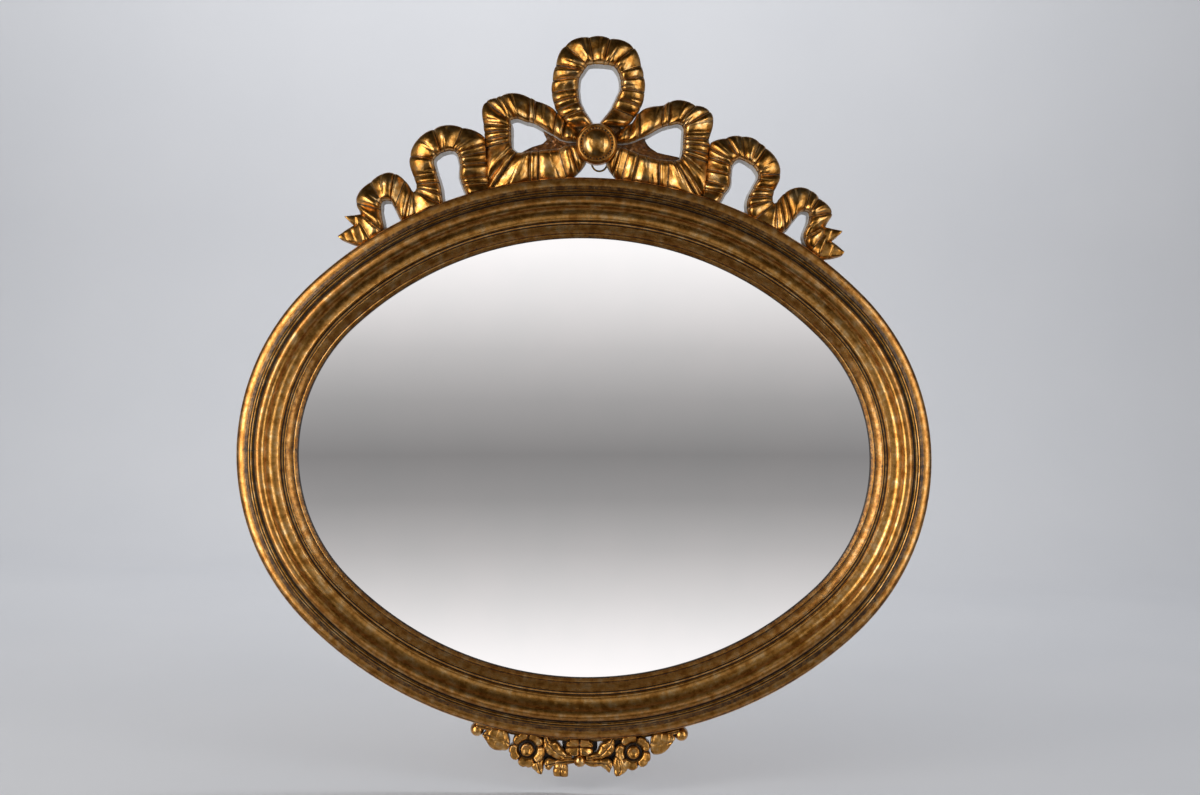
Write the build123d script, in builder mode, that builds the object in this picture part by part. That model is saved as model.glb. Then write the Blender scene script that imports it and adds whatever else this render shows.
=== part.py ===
from build123d import *
import os
from math import asin, atan2, cos, degrees, hypot, radians, sin, sqrt

# Oval wall mirror in a carved and gilded wooden frame. All sizes are millimetres.
# X runs to the right, Z up, and the front faces -Y. The origin lies on the wall plane,
# behind the centre of the oval. A depth is a distance in front of the wall plane.

# Oval of the glass opening, drawn with four tangent arcs
sight_width = 600.0
sight_height = 461.0
end_radius = 183.0

# Moulding of the frame
moulding_width = 62.0
moulding_depth = 34.0
side_depth = 21.5
lip_thickness = 2.8
rebate_width = 8.0
back_recess = 2.5

# Section of the moulding. The lip and the fillets are given as offsets from the opening's edge
# and rises over the lip, the torus and the beads as insets from the outer edge and drops from
# the highest point. The cove and the torus are arcs of so much sag.
lip_profile = ((0.0, 0.0), (3.4, 1.8), (4.4, 1.2))
fillet_profile = ((11.6, 6.8), (12.4, 7.8), (13.3, 6.4), (16.6, 6.8), (17.6, 10.4), (19.0, 10.2))
torus_inset = 30.8
torus_drop = 2.8
bead_profile = ((20.8, 2.4), (19.4, 4.6), (17.3, 3.0), (15.7, 4.8), (14.2, 3.8), (13.2, 6.4), (9.0, 7.6))
cove_sag = 2.9
torus_sag = 2.6

# Glass, its packers, and the board and brads behind it
glass_thickness = 4.0
packer_count = 8
packer_sweep = 4.0
packer_width = 1.8
packer_clearance = 0.1
panel_thickness = 3.0
panel_clearance = 0.1
brad_size = 1.4
brad_length = 15.0
brad_grip = 6.0
brad_angles = (18, 45, 72)
brad_clearance = 0.05

# Loose tenons across the four joints of the frame, set in from the rebate and the outer edge
tenon_thickness = 8.0
tenon_length = 36.0
tenon_rebate_inset = 12.0
tenon_edge_inset = 12.0
tenon_depth = 6.0

# Dowels between the frame and its carvings
pin_radius = 3.0
pin_grip = 11.0
pin_cover = 2.0
dowel_clearance = 0.05
dowel_end_gap = 0.5
bow_pin_places = (-60.0, 62.0)
ribbon_pin_places = (-177.0, 180.0)
garland_pin_places = (-51.0, 60.0)
glue_gap = 0.1

# Carved ribbons of the crest, with their heights over its back
crest_back = 5.0
fold_shoulder = 0.28
fold_side = 14.5
fold_crown = 6.5
crease_side = 12.5
crease_crown = 4.0
fold_swell = 0.7
fold_least = 5.0
web_thickness = 7.0
fork_thickness = 14.0
fork_taper = 12.0

# Flat joints between the bow and the ribbons, as X and height over the frame's edge
left_joint = ((-112.4, 54.1), (-106.8, -0.4))
right_joint = ((123.4, 57.4), (117.5, 0.6))
joint_reach = 14.0

# Knot of the bow, and the turned boss on it with its heights over the knot
knot_x = 4.8
knot_rise = 34.3
knot_radius = 20.0
knot_thickness = 14.0
boss_radius = 21.5
boss_height = 17.0
boss_side_height = 5.0
boss_rim_radius = 18.3
boss_rim_height = 12.0
boss_rim_width = 1.2
boss_dome_radius = 15.6
boss_groove_height = 9.6
boss_groove_slope = 0.7
boss_clearance = 0.3
spigot_radius = 6.0
spigot_length = 5.0
spigot_clearance = 0.05

# Hanger plate with its eye, the ring in it and the screws
hanger_offset = 3.2
eye_drop = 8.9
eye_radius = 1.6
eye_width = 4.0
plate_thickness = 0.8
plate_width = 12.0
plate_length = 22.0
plate_corner = 2.0
plate_gap = 2.6
ring_radius = 7.9
ring_thickness = 2.0
ring_chamfer = 0.5
screw_radius = 1.4
screw_length = 9.0
screw_head_radius = 2.7
screw_head_height = 1.0
screw_head_taper = 30.0
screw_slot_width = 0.7
screw_slot_depth = 0.5
screw_slot_angle = 30.0
screw_spacing = 12.5
screw_clearance = 0.05

# Carved garland under the frame, with its heights over its back and each place given as X
# and distance below the frame's edge
garland_back = 5.0
ground_width = 6.0
ground_thickness = 7.0
ground_ends = (-101.0, 106.0)
flower_radius = 18.4
flower_places = ((-51.5, 16.7), (59.5, 17.8))
petal_count = 5
petal_radius = 7.6
petal_top_radius = 4.4
petal_thickness = 14.0
petal_turn = -18.0
flower_pit_radius = 8.8
flower_pit_height = 9.0
flower_eye_radius = 6.4
flower_eye_height = 8.0
flower_eye_taper = 30.0
leaf_side = 7.5
leaf_shoulder = 0.5
leaf_crown_share = 0.28
bud_profile = ((1.0, 0.0), (1.0, 0.5), (0.75, 0.86), (0.3, 1.0))
berry_radius = 6.6
berry_height = 13.4
berry_places = ((-104.6, 8.3), (109.4, 9.1))
bead_radius = 6.3
bead_height = 16.3
bead_place = (3.8, 24.2)
lobe_radius = 4.8
lobe_top_radius = 2.6
lobe_thickness = 13.5
lobe_places = ((-5.0, 5.5), (10.5, 4.6), (-6.5, 13.1), (10.5, 12.6))

# Oval construction worked out from the driving sizes
half_width = sight_width / 2
half_height = sight_height / 2
end_centre = half_width - end_radius
long_radius = (half_height**2 + end_centre**2 - end_radius**2) / (2 * (half_height - end_radius))
long_centre = long_radius - half_height
turn_angle = degrees(atan2(long_centre, end_centre))
outer_long_radius = long_radius + moulding_width

# Depths and margins of what lies in the rebate
rebate_depth = back_recess + panel_thickness + panel_clearance + glass_thickness
lip_depth = rebate_depth + lip_thickness
glass_margin = rebate_width - packer_width - 2 * packer_clearance
glass_back = rebate_depth - glass_thickness
tenon_start = rebate_width + tenon_rebate_inset
tenon_width = moulding_width - tenon_edge_inset - tenon_start

# Places of the knot, the boss and the hanger
knot_z = half_height + moulding_width + knot_rise
boss_seat = crest_back + knot_thickness
hanger_x = knot_x + hanger_offset
eye_z = knot_z - eye_drop
eye_depth = crest_back - plate_thickness - eye_radius
screw_places = [(hanger_x, eye_z + ring_radius), (hanger_x, eye_z + ring_radius + screw_spacing)]
os.makedirs("parts", exist_ok=True)


def quarter_arcs(quarter):
    """Two arcs of one quarter of the oval, each as centre, radius, start angle and sweep."""
    side_x = 1 if quarter in (0, 3) else -1
    side_z = 1 if quarter in (0, 1) else -1
    end_arc = ((end_centre * side_x, 0), end_radius)
    long_arc = ((0, -long_centre * side_z), long_radius)
    start = 90 * quarter
    if quarter % 2 == 0:
        return [(*end_arc, start, turn_angle), (*long_arc, start + turn_angle, 90 - turn_angle)]
    return [(*long_arc, start, 90 - turn_angle), (*end_arc, start + 90 - turn_angle, turn_angle)]


def arc_at(angle):
    """Centre and radius of the arc of the opening that holds this direction."""
    for centre, radius, start, sweep in quarter_arcs(int(angle // 90) % 4):
        if start <= angle <= start + sweep:
            return centre, radius


def cross_plane(centre, angle):
    """Plane across the moulding: x runs outwards from the arc's centre, y to the front."""
    across = (cos(radians(angle)), 0, sin(radians(angle)))
    along = (sin(radians(angle)), 0, -cos(radians(angle)))
    return Plane(origin=(centre[0], 0, centre[1]), x_dir=across, z_dir=along)


def oval_face(margin):
    """Face inside the opening's edge moved outwards by a margin."""
    with BuildSketch() as face:
        with BuildLine():
            CenterArc((end_centre, 0), end_radius + margin, -turn_angle, 2 * turn_angle)
            CenterArc((0, -long_centre), long_radius + margin, turn_angle, 180 - 2 * turn_angle)
            CenterArc((-end_centre, 0), end_radius + margin, 180 - turn_angle, 2 * turn_angle)
            CenterArc((0, long_centre), long_radius + margin, 180 + turn_angle, 180 - 2 * turn_angle)
        make_face()
    return face.sketch


def moulding_section(radius):
    """Section of the moulding: lip, sloping band, fillets, cove, torus, two beads, outer ovolo."""
    edge = radius + moulding_width
    lip = [(radius + offset, lip_depth + rise) for offset, rise in lip_profile]
    fillets = [(radius + offset, lip_depth + rise) for offset, rise in fillet_profile]
    torus_start = (edge - torus_inset, moulding_depth - torus_drop)
    beads = [(edge - inset, moulding_depth - drop) for inset, drop in bead_profile]
    rebate = [(radius + rebate_width, 0), (radius + rebate_width, rebate_depth), (radius, rebate_depth)]
    with BuildSketch() as section:
        with BuildLine():
            Polyline(*lip, *fillets)
            SagittaArc(fillets[-1], torus_start, -cove_sag)
            SagittaArc(torus_start, beads[0], torus_sag)
            Polyline(*beads)
            TangentArc((edge, side_depth), beads[-1], tangent=(0, 1))
            Polyline((edge, side_depth), (edge, 0), *rebate, lip[0])
        make_face()
    return section.sketch


def tenon_shape(quarter, clearance, end_gap):
    """Loose tenon across the joint where a quarter starts, or its mortise with a clearance."""
    centre, radius, start, sweep = quarter_arcs(quarter)[0]
    width = tenon_width + 2 * clearance
    thickness = tenon_thickness + 2 * clearance
    length = tenon_length + 2 * end_gap
    corner = (radius + tenon_start - clearance, tenon_depth - clearance)
    with BuildPart() as shape:
        with BuildSketch(cross_plane(centre, start).offset(-length / 2)):
            with Locations(corner):
                Rectangle(width, thickness, align=(Align.MIN, Align.MIN))
        extrude(amount=length)
    return shape.part


def radial_plane(angle, depth, margin):
    """Plane that faces outwards across the moulding at one direction of the oval."""
    centre, radius = arc_at(angle)
    reach = radius + margin
    place = (centre[0] + reach * cos(radians(angle)), -depth, centre[1] + reach * sin(radians(angle)))
    return Plane(origin=place, z_dir=(cos(radians(angle)), 0, sin(radians(angle))))


def brad_plane(angle):
    """Plane at a brad's inner end, facing outwards, just behind the back panel."""
    depth = back_recess - brad_clearance - brad_size / 2
    return radial_plane(angle, depth, rebate_width + brad_grip - brad_length)


def pin_plane(place, side, back):
    """Plane at the frame's outer edge where a carving's dowel crosses it, above it or below."""
    lean = degrees(asin(place / outer_long_radius))
    angle = 90 - lean if side > 0 else 270 + lean
    return radial_plane(angle, back + pin_cover + pin_radius, moulding_width)


bow_pins = [pin_plane(place, 1, crest_back) for place in bow_pin_places]
ribbon_pins = [pin_plane(place, 1, crest_back) for place in ribbon_pin_places]
garland_pins = [pin_plane(place, -1, garland_back) for place in garland_pin_places]


def frame_segment(quarter):
    """One of the four curved segments of the frame, bored for its dowels, pins and brads."""
    with BuildPart() as segment:
        for centre, radius, start, sweep in quarter_arcs(quarter):
            with BuildSketch(cross_plane(centre, start)):
                add(moulding_section(radius))
            revolve(axis=Axis((centre[0], 0, centre[1]), (0, -1, 0)), revolution_arc=sweep)
        for end in (quarter, (quarter + 1) % 4):
            add(tenon_shape(end, dowel_clearance, dowel_end_gap), mode=Mode.SUBTRACT)
        for plane in bow_pins + ribbon_pins + garland_pins:
            with BuildSketch(plane):
                Circle(pin_radius + dowel_clearance)
        extrude(amount=-pin_grip - dowel_end_gap, mode=Mode.SUBTRACT)
        brad_hole = brad_size + 2 * brad_clearance
        for angle in brad_angles:
            with BuildSketch(brad_plane(90 * quarter + angle)):
                Rectangle(brad_hole, brad_hole)
        extrude(amount=brad_length + dowel_end_gap, mode=Mode.SUBTRACT)
    return segment


# The four frame segments, which meet at the ends of the oval's two axes
segment_names = ("frame_upper_right", "frame_upper_left", "frame_lower_left", "frame_lower_right")
for quarter, name in enumerate(segment_names):
    segment = frame_segment(quarter)
    segment.part.label = name
    export_step(segment.part, f"parts/{name}.step")

# Loose tenons, one across each of the four joints
with BuildPart() as joint_tenons:
    for quarter in range(4):
        add(tenon_shape(quarter, 0, 0))
joint_tenons.part.label = "joint_tenons"
export_step(joint_tenons.part, "parts/joint_tenons.step")

# Mirror glass, pressed against the back of the lip
with BuildPart() as mirror_glass:
    with BuildSketch(Plane.XZ.offset(glass_back)):
        add(oval_face(glass_margin))
    extrude(amount=glass_thickness)
mirror_glass.part.label = "mirror_glass"
export_step(mirror_glass.part, "parts/mirror_glass.step")

# Cork packers between the edge of the glass and the rebate
with BuildPart() as glass_packers:
    for index in range(packer_count):
        angle = (index + 0.5) * 360 / packer_count
        centre, radius = arc_at(angle)
        with BuildSketch(cross_plane(centre, angle - packer_sweep / 2)):
            with Locations((radius + glass_margin + packer_clearance, glass_back)):
                Rectangle(packer_width, glass_thickness - packer_clearance, align=(Align.MIN, Align.MIN))
        revolve(axis=Axis((centre[0], 0, centre[1]), (0, -1, 0)), revolution_arc=packer_sweep)
glass_packers.part.label = "glass_packers"
export_step(glass_packers.part, "parts/glass_packers.step")

# Back panel behind the glass
with BuildPart() as back_panel:
    with BuildSketch(Plane.XZ.offset(back_recess)):
        add(oval_face(glass_margin))
    extrude(amount=panel_thickness)
back_panel.part.label = "back_panel"
export_step(back_panel.part, "parts/back_panel.step")

# Square brads that lie on the panel and are driven into the wall of the rebate
with BuildPart() as panel_brads:
    for quarter in range(4):
        for angle in brad_angles:
            with BuildSketch(brad_plane(90 * quarter + angle)):
                Rectangle(brad_size, brad_size)
    extrude(amount=brad_length)
panel_brads.part.label = "panel_brads"
export_step(panel_brads.part, "parts/panel_brads.step")


def on_frame(places, side):
    """Places given as X and distance beyond the frame's edge, above it or below it."""
    edges = [sqrt(outer_long_radius**2 - x**2) - long_centre for x, beyond in places]
    return [(x, side * (edge + beyond)) for edge, (x, beyond) in zip(edges, places)]


def rib_plane(outer, inner, back):
    """Plane across a carved form from its outer to its inner edge, starting on its back."""
    width = hypot(inner[0] - outer[0], inner[1] - outer[1])
    across = ((inner[0] - outer[0]) / width, 0, (inner[1] - outer[1]) / width)
    along = (across[2], 0, -across[0])
    return Plane(origin=(outer[0], -back, outer[1]), x_dir=across, z_dir=along)


def rib_section(outer, inner, side, crown, shoulder):
    """Section of a carved form: flat back, upright sides and a front raised between shoulders."""
    width = hypot(inner[0] - outer[0], inner[1] - outer[1])
    rise = [(width * (1 - shoulder), side + crown), (width * shoulder, side + crown)]
    with BuildSketch() as section:
        with BuildLine():
            Polyline((0, 0), (width, 0), (width, side), *dict.fromkeys(rise), (0, side), close=True)
        make_face()
    return section.sketch


def stations(creases):
    """Low sections at the creases, and between two far ones a high section that swells out."""
    rows = []
    for (outer, inner), (next_outer, next_inner) in zip(creases, creases[1:]):
        rows.append((outer, inner, crease_side, crease_crown))
        if hypot(next_outer[0] - outer[0], next_outer[1] - outer[1]) > fold_least:
            middle = Vector((outer[0] + next_outer[0]) / 2, (outer[1] + next_outer[1]) / 2)
            heart = Vector((inner[0] + next_inner[0]) / 2, (inner[1] + next_inner[1]) / 2)
            swell = middle + (middle - heart).normalized() * fold_swell
            rows.append(((swell.X, swell.Y), (heart.X, heart.Y), fold_side, fold_crown))
    return rows + [(*creases[-1], crease_side, crease_crown)]


def ribbon(creases):
    """Pleated ribbon lofted from crease to crease, each given as its outer and inner end."""
    with BuildPart() as strand:
        for outer, inner, side, crown in stations([on_frame(crease, 1) for crease in creases]):
            with BuildSketch(rib_plane(outer, inner, crest_back)):
                add(rib_section(outer, inner, side, crown, fold_shoulder))
        loft(ruled=True)
    return strand.part


def leaf(ribs):
    """Carved leaf or scroll of the garland, lofted over ribs given by their two ends."""
    with BuildPart() as form:
        for outer, inner in [on_frame(rib, -1) for rib in ribs]:
            width = hypot(inner[0] - outer[0], inner[1] - outer[1])
            with BuildSketch(rib_plane(outer, inner, garland_back)):
                add(rib_section(outer, inner, leaf_side, leaf_crown_share * width, leaf_shoulder))
        loft(ruled=True)
    return form.part


# Creases of the upright loop, from its left foot round to its right foot
loop_creases = [
    ((-25, 53.3), (2, 52.5)),
    ((-32.5, 63.8), (-10, 70.6)),
    ((-38, 71.8), (-14, 78.7)),
    ((-41, 80), (-15.5, 84.8)),
    ((-43.5, 90.8), (-16.5, 92.8)),
    ((-43, 103.7), (-15.5, 104.8)),
    ((-40, 119.4), (-11.5, 111.7)),
    ((-30.5, 139.6), (-7.5, 117.6)),
    ((-8, 148.1), (-1, 119.5)),
    ((16, 147.3), (10, 119.6)),
    ((40.5, 140), (20.5, 118)),
    ((49, 121.9), (26.5, 110.4)),
    ((52, 110.8), (28.5, 103.5)),
    ((53, 94.9), (28.5, 94.5)),
    ((49.5, 79.5), (24.5, 84.2)),
    ((43, 67.7), (20, 74)),
    ((34, 55.9), (6, 54.5)),
]
# Creases of the left half of the bow, from the knot round and back to it
left_bow_creases = [
    ((-13, 48.7), (-14, 38.7)),
    ((-29, 60), (-32, 41.2)),
    ((-38, 70.3), (-41, 47)),
    ((-60.5, 84.5), (-62, 60.7)),
    ((-72, 92.3), (-71, 64.2)),
    ((-100, 94.8), (-84, 68.1)),
    ((-112, 93), (-86, 65.6)),
    ((-114.2, 70.1), (-85.5, 60)),
    ((-113, 61.3), (-85.3, 55.9)),
    ((-112, 53), (-85.2, 50.4)),
    ((-111, 44.7), (-85, 44.3)),
    ((-106, 10.3), (-83, 35.9)),
    ((-98.5, 1.4), (-79.5, 32.7)),
    ((-64, -0.5), (-64, 31)),
    ((-56, -0.7), (-56, 30.3)),
    ((-25, -1.7), (-35, 31)),
    ((-14, 6.2), (-24, 34.2)),
    ((-6, 16.5), (-12, 33.7)),
]
# Creases of the right half of the bow, from the knot round and back to it
right_bow_creases = [
    ((24, 49.2), (24, 38.2)),
    ((41, 61.5), (38, 40.3)),
    ((48.5, 73.4), (49, 45.9)),
    ((74, 85.7), (73, 62)),
    ((80, 90.3), (79, 65.1)),
    ((107, 93.6), (91, 68.7)),
    ((122, 91.9), (95, 66.6)),
    ((123.5, 68.9), (95.5, 59.7)),
    ((121.8, 62.4), (95.3, 54.6)),
    ((123, 55.2), (95.2, 49.1)),
    ((122.6, 47.1), (95, 43.6)),
    ((123, 38.2), (94.5, 39)),
    ((112, 3), (92, 31.9)),
    ((103, -1.4), (88, 29.5)),
    ((80, -2.7), (80, 27.8)),
    ((71, -2.3), (70.5, 26.6)),
    ((42, -1.4), (49, 28.9)),
    ((31, -1.3), (38.5, 31.8)),
    ((22, 5.6), (30, 33.6)),
    ((15, 15.8), (21, 33)),
]
# Creases of the left ribbon, from the bow over two waves to the pinch before the fork
left_ribbon_creases = [
    ((-112, -7), (-127, -4.5)),
    ((-106.5, 6.5), (-134, 11.9)),
    ((-107, 13.6), (-136, 17.5)),
    ((-108, 27.9), (-137, 33.9)),
    ((-109, 40.1), (-138.5, 41.4)),
    ((-110, 48.4), (-140.5, 46.6)),
    ((-136.5, 73), (-144.5, 51.1)),
    ((-166.5, 82.1), (-157.5, 53.7)),
    ((-190, 64.8), (-165, 49.9)),
    ((-185.5, 40.5), (-162, 33.1)),
    ((-182.8, 31.7), (-158.8, 22.8)),
    ((-182.6, 27.6), (-156, 9.1)),
    ((-184.2, 25.3), (-155, -2.3)),
    ((-185.8, 25.3), (-183, -3.7)),
    ((-187.4, 27.5), (-194, -1.6)),
    ((-195, 41.5), (-204, 17.4)),
    ((-206, 54.6), (-209, 27.8)),
    ((-231, 61.2), (-218, 32.2)),
    ((-245, 48.1), (-219.5, 24.7)),
    ((-240.5, 32.8), (-217, 1.1)),
    ((-242.5, 29.2), (-229, -3.2)),
    ((-245, 26.6), (-236, -2.4)),
]
# Creases of the right ribbon, from the bow over two waves to the pinch before the fork
right_ribbon_creases = [
    ((114, -6.4), (131, -5.2)),
    ((117, 9.4), (139, 11.6)),
    ((118.5, 18.9), (143.5, 19.7)),
    ((120.5, 30.5), (145, 33.8)),
    ((121, 43.6), (146, 43.2)),
    ((121, 53.6), (148, 47.9)),
    ((140, 70.5), (153.5, 53.6)),
    ((157, 79.3), (159.5, 54.6)),
    ((176, 80.9), (166, 53.8)),
    ((182, 78.8), (169, 53.2)),
    ((197.5, 59.8), (175, 46.4)),
    ((191.5, 38.6), (169.5, 30.4)),
    ((190.2, 31.9), (165, 18.9)),
    ((190.6, 27.7), (163.8, 7.4)),
    ((192, 26.5), (170, -3.9)),
    ((193.6, 27.7), (196, -3)),
    ((197.5, 34.8), (204, 5.4)),
    ((202.5, 42.6), (211, 19)),
    ((230, 63.5), (223, 36.9)),
    ((239, 61.7), (228, 38.2)),
    ((252.5, 56.7), (229, 34.8)),
    ((246.5, 36.7), (224, 8.6)),
    ((247, 33), (231, 0.2)),
    ((248.5, 30.7), (240, -0.6)),
]


def side_block(joint, reach):
    """Block on one side of a ribbon's flat joint against the bow, reach mm wide."""
    top, bottom = on_frame(joint, 1)
    with BuildSketch(Plane.XZ) as outline:
        with BuildLine():
            Polyline(top, bottom, (bottom[0] + reach, bottom[1]), (top[0] + reach, top[1]), close=True)
        make_face()
    return extrude(outline.sketch, amount=moulding_depth)


def front_plane(x, z, depth):
    """Plane that faces the front at one place."""
    return Plane(origin=(x, -depth, z), x_dir=(1, 0, 0), z_dir=(0, -1, 0))


def raised(outline, back, thickness, taper=0.0):
    """Flat carved shape with a straight outline, from its back forwards."""
    with BuildPart() as shape:
        with BuildSketch(Plane.XZ.offset(back)):
            with BuildLine():
                Polyline(*outline, close=True)
            make_face()
        extrude(amount=thickness, taper=taper)
    return shape.part


def bud(place, radius, height):
    """Round bud of the garland, turned from a profile of shares of its radius and height."""
    outline = [(radius * out, garland_back + height * up) for out, up in bud_profile]
    with BuildPart() as shape:
        with BuildSketch(cross_plane(place, 0)):
            with BuildLine():
                Polyline(*outline, (0, garland_back + height), (0, garland_back), close=True)
            make_face()
        revolve(axis=Axis((place[0], 0, place[1]), (0, -1, 0)))
    return shape.part


# Block that fills the frame's outline, to fit the carvings to its outer edge
with BuildPart() as frame_block:
    with BuildSketch(Plane.XZ):
        add(oval_face(moulding_width + glue_gap))
    extrude(amount=2 * moulding_depth)

# Recessed webs between the knot and the holes of the bow
left_web = [(-52, 51.8), (-47.5, 42.9), (-52, 38.8), (-63, 36.8), (-72, 33.3), (-77, 31.2),
            (-70, 21.5), (-12, 25.7), (-8, 41.6), (-36, 55.1)]
right_web = [(53, 51.9), (56.4, 43.2), (60, 39.2), (69, 35), (84.5, 32.7), (92.5, 36),
             (93, 26.1), (20, 20), (16, 41.8), (40, 55.4)]
knot = front_plane(knot_x, knot_z, crest_back)

# Bow: upright loop, two side loops, the knot with the boss's seat, and the webs
with BuildPart() as crest_bow:
    add(ribbon(loop_creases))
    add(ribbon(left_bow_creases))
    add(ribbon(right_bow_creases))
    add(raised(on_frame(left_web, 1), crest_back, web_thickness))
    add(raised(on_frame(right_web, 1), crest_back, web_thickness))
    with BuildSketch(knot):
        Circle(knot_radius)
    extrude(amount=knot_thickness)
    with BuildSketch(knot.offset(knot_thickness)):
        Circle(boss_radius + boss_clearance)
    extrude(amount=moulding_depth, mode=Mode.SUBTRACT)
    with BuildSketch(knot.offset(knot_thickness)):
        Circle(spigot_radius + spigot_clearance)
    extrude(amount=-spigot_length - dowel_end_gap, mode=Mode.SUBTRACT)
    add(frame_block.part, mode=Mode.SUBTRACT)
    add(side_block(left_joint, -joint_reach), mode=Mode.SUBTRACT)
    add(side_block(right_joint, joint_reach), mode=Mode.SUBTRACT)
    for plane in bow_pins:
        with BuildSketch(plane):
            Circle(pin_radius + dowel_clearance)
    extrude(amount=pin_grip + dowel_end_gap, mode=Mode.SUBTRACT)
    with BuildSketch(Plane.XZ.offset(crest_back)):
        with Locations(*screw_places):
            Circle(screw_radius + screw_clearance)
    extrude(amount=screw_length, mode=Mode.SUBTRACT)
crest_bow.part.label = "crest_bow"
export_step(crest_bow.part, "parts/crest_bow.step")

# Left and right ribbons, each ending in a fork
left_fork = [(-238, 29), (-257, 42.7), (-244.5, 22.2), (-263.5, 27.5), (-250, 9.3), (-232, -7.1)]
right_fork = [(244, 33.8), (263.5, 46.5), (251, 25.1), (266.5, 27.5), (253, 11.6), (236, -5.4)]
ribbon_parts = (
    ("crest_left_ribbon", left_ribbon_creases, left_fork, left_joint, joint_reach, ribbon_pins[0]),
    ("crest_right_ribbon", right_ribbon_creases, right_fork, right_joint, -joint_reach, ribbon_pins[1]),
)
for name, creases, fork, joint, reach, pin in ribbon_parts:
    with BuildPart() as crest_ribbon:
        add(ribbon(creases))
        add(raised(on_frame(fork, 1), crest_back, fork_thickness, fork_taper))
        add(frame_block.part, mode=Mode.SUBTRACT)
        add(side_block(joint, reach), mode=Mode.SUBTRACT)
        with BuildSketch(pin):
            Circle(pin_radius + dowel_clearance)
        extrude(amount=pin_grip + dowel_end_gap, mode=Mode.SUBTRACT)
    crest_ribbon.part.label = name
    export_step(crest_ribbon.part, f"parts/{name}.step")

# Turned boss over the knot: spigot, ovolo, rim, groove and dome
with BuildPart() as knot_boss:
    spigot_end = boss_seat - spigot_length
    rim_outside = boss_rim_radius + boss_rim_width / 2
    rim_inside = boss_rim_radius - boss_rim_width / 2
    rim = boss_seat + boss_rim_height
    groove = boss_seat + boss_groove_height
    groove_place = (boss_dome_radius + boss_groove_slope, groove)
    dome_foot = (boss_dome_radius, groove + boss_groove_slope)
    seat = [(spigot_radius, spigot_end), (spigot_radius, boss_seat), (boss_radius, boss_seat)]
    side_top = (boss_radius, boss_seat + boss_side_height)
    with BuildSketch(cross_plane((knot_x, knot_z), 0)):
        with BuildLine():
            Polyline((0, spigot_end), *seat, side_top)
            TangentArc(side_top, (rim_outside, rim), tangent=(0, 1))
            Polyline((rim_outside, rim), (rim_inside, rim), groove_place, dome_foot)
            TangentArc((0, boss_seat + boss_height), dome_foot, tangent=(1, 0))
            Line((0, boss_seat + boss_height), (0, spigot_end))
        make_face()
    revolve(axis=Axis((knot_x, 0, knot_z), (0, -1, 0)))
knot_boss.part.label = "knot_boss"
export_step(knot_boss.part, "parts/knot_boss.step")

# Dowels between the frame and the crest, and between the frame and the garland
for name, planes in (("crest_dowels", bow_pins + ribbon_pins), ("garland_dowels", garland_pins)):
    with BuildPart() as dowels:
        for plane in planes:
            with BuildSketch(plane.offset(-pin_grip)):
                Circle(pin_radius)
        extrude(amount=2 * pin_grip)
    dowels.part.label = name
    export_step(dowels.part, f"parts/{name}.step")

# Ribs of the garland's leaves, scrolls and stems, each given by its two ends
garland_leaves = {
    "left leaf": [
        ((-97.5, 9.7), (-99, 12)),
        ((-91, 3.2), (-94.5, 17.5)),
        ((-82, 0.2), (-89, 23.2)),
        ((-75.5, 0), (-78, 22.9)),
        ((-71.5, 6.7), (-72, 20.8)),
        ((-70, 11.5), (-70, 16.5)),
    ],
    "right leaf": [
        ((78, 3.9), (76.8, 15.7)),
        ((82, 1.7), (79, 22.1)),
        ((90, 2.7), (87, 24.6)),
        ((98, 5.3), (94, 22.3)),
        ((103, 10.6), (99, 16.5)),
    ],
    "left scroll": [
        ((-34, 2.4), (-30.5, 0.1)),
        ((-34.5, 7.9), (-26, 5.3)),
        ((-32.5, 15.3), (-20.5, 6)),
        ((-26, 20.3), (-15.5, 11.3)),
        ((-16, 22.8), (-10, 16.4)),
        ((-5, 22.3), (-4.2, 19)),
    ],
    "right scroll": [
        ((38.8, 2.8), (35.5, 1)),
        ((39.5, 9.4), (31, 4.7)),
        ((37.5, 16.7), (25.2, 7.3)),
        ((30.5, 20.6), (21.5, 14.6)),
        ((20, 22.2), (13.5, 17.7)),
        ((10.8, 22.6), (10, 18.6)),
    ],
    "left under leaf": [
        ((-1, 22.5), (-1, 26.5)),
        ((-13, 23.2), (-12.5, 28.7)),
        ((-22, 24.9), (-23, 30.6)),
        ((-31, 24.7), (-29, 36)),
        ((-33.5, 28.4), (-32, 34.2)),
    ],
    "right under leaf": [
        ((8, 23.1), (8.5, 27.1)),
        ((18.5, 22.9), (17.5, 30.9)),
        ((27, 23.2), (25.5, 30.3)),
        ((36, 24.6), (30.5, 33.6)),
        ((38.5, 28.8), (34.8, 37.8)),
    ],
    "left tip leaf": [((-47.5, 32.2), (-34, 24.9)), ((-42, 38.1), (-34, 33.9)), ((-37.8, 40.7), (-35, 40))],
    "right tip leaf": [((40, 21), (50, 25)), ((40, 34.4), (53.5, 36)), ((41.5, 41.1), (46, 41.3))],
    "ribbon end": [((-20, 26), (-9, 28.6)), ((-23.2, 33.2), (-8.3, 35.1)), ((-22.8, 39.1), (-8.3, 38.6))],
    "left stem": [((-106, 0.4), (-105, 6)), ((-95, 0.6), (-95.5, 5.7)), ((-88, 1), (-89, 6.2))],
    "right stem": [((94, 2.3), (95, 6.6)), ((101, 2), (101.5, 6.7)), ((107, 2.1), (107.5, 6.2))],
}
ribbon_fork = [(-22.8, 38.6), (-8.3, 38.1), (-8.3, 42.9), (-15.8, 40.6), (-22, 43.9)]
rosette_ground = [(-15, 1.8), (-13, 12.7), (-4, 19.5), (12, 19.7), (22, 13.1), (20, 2)]
upright = (Align.CENTER, Align.CENTER, Align.MIN)

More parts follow.
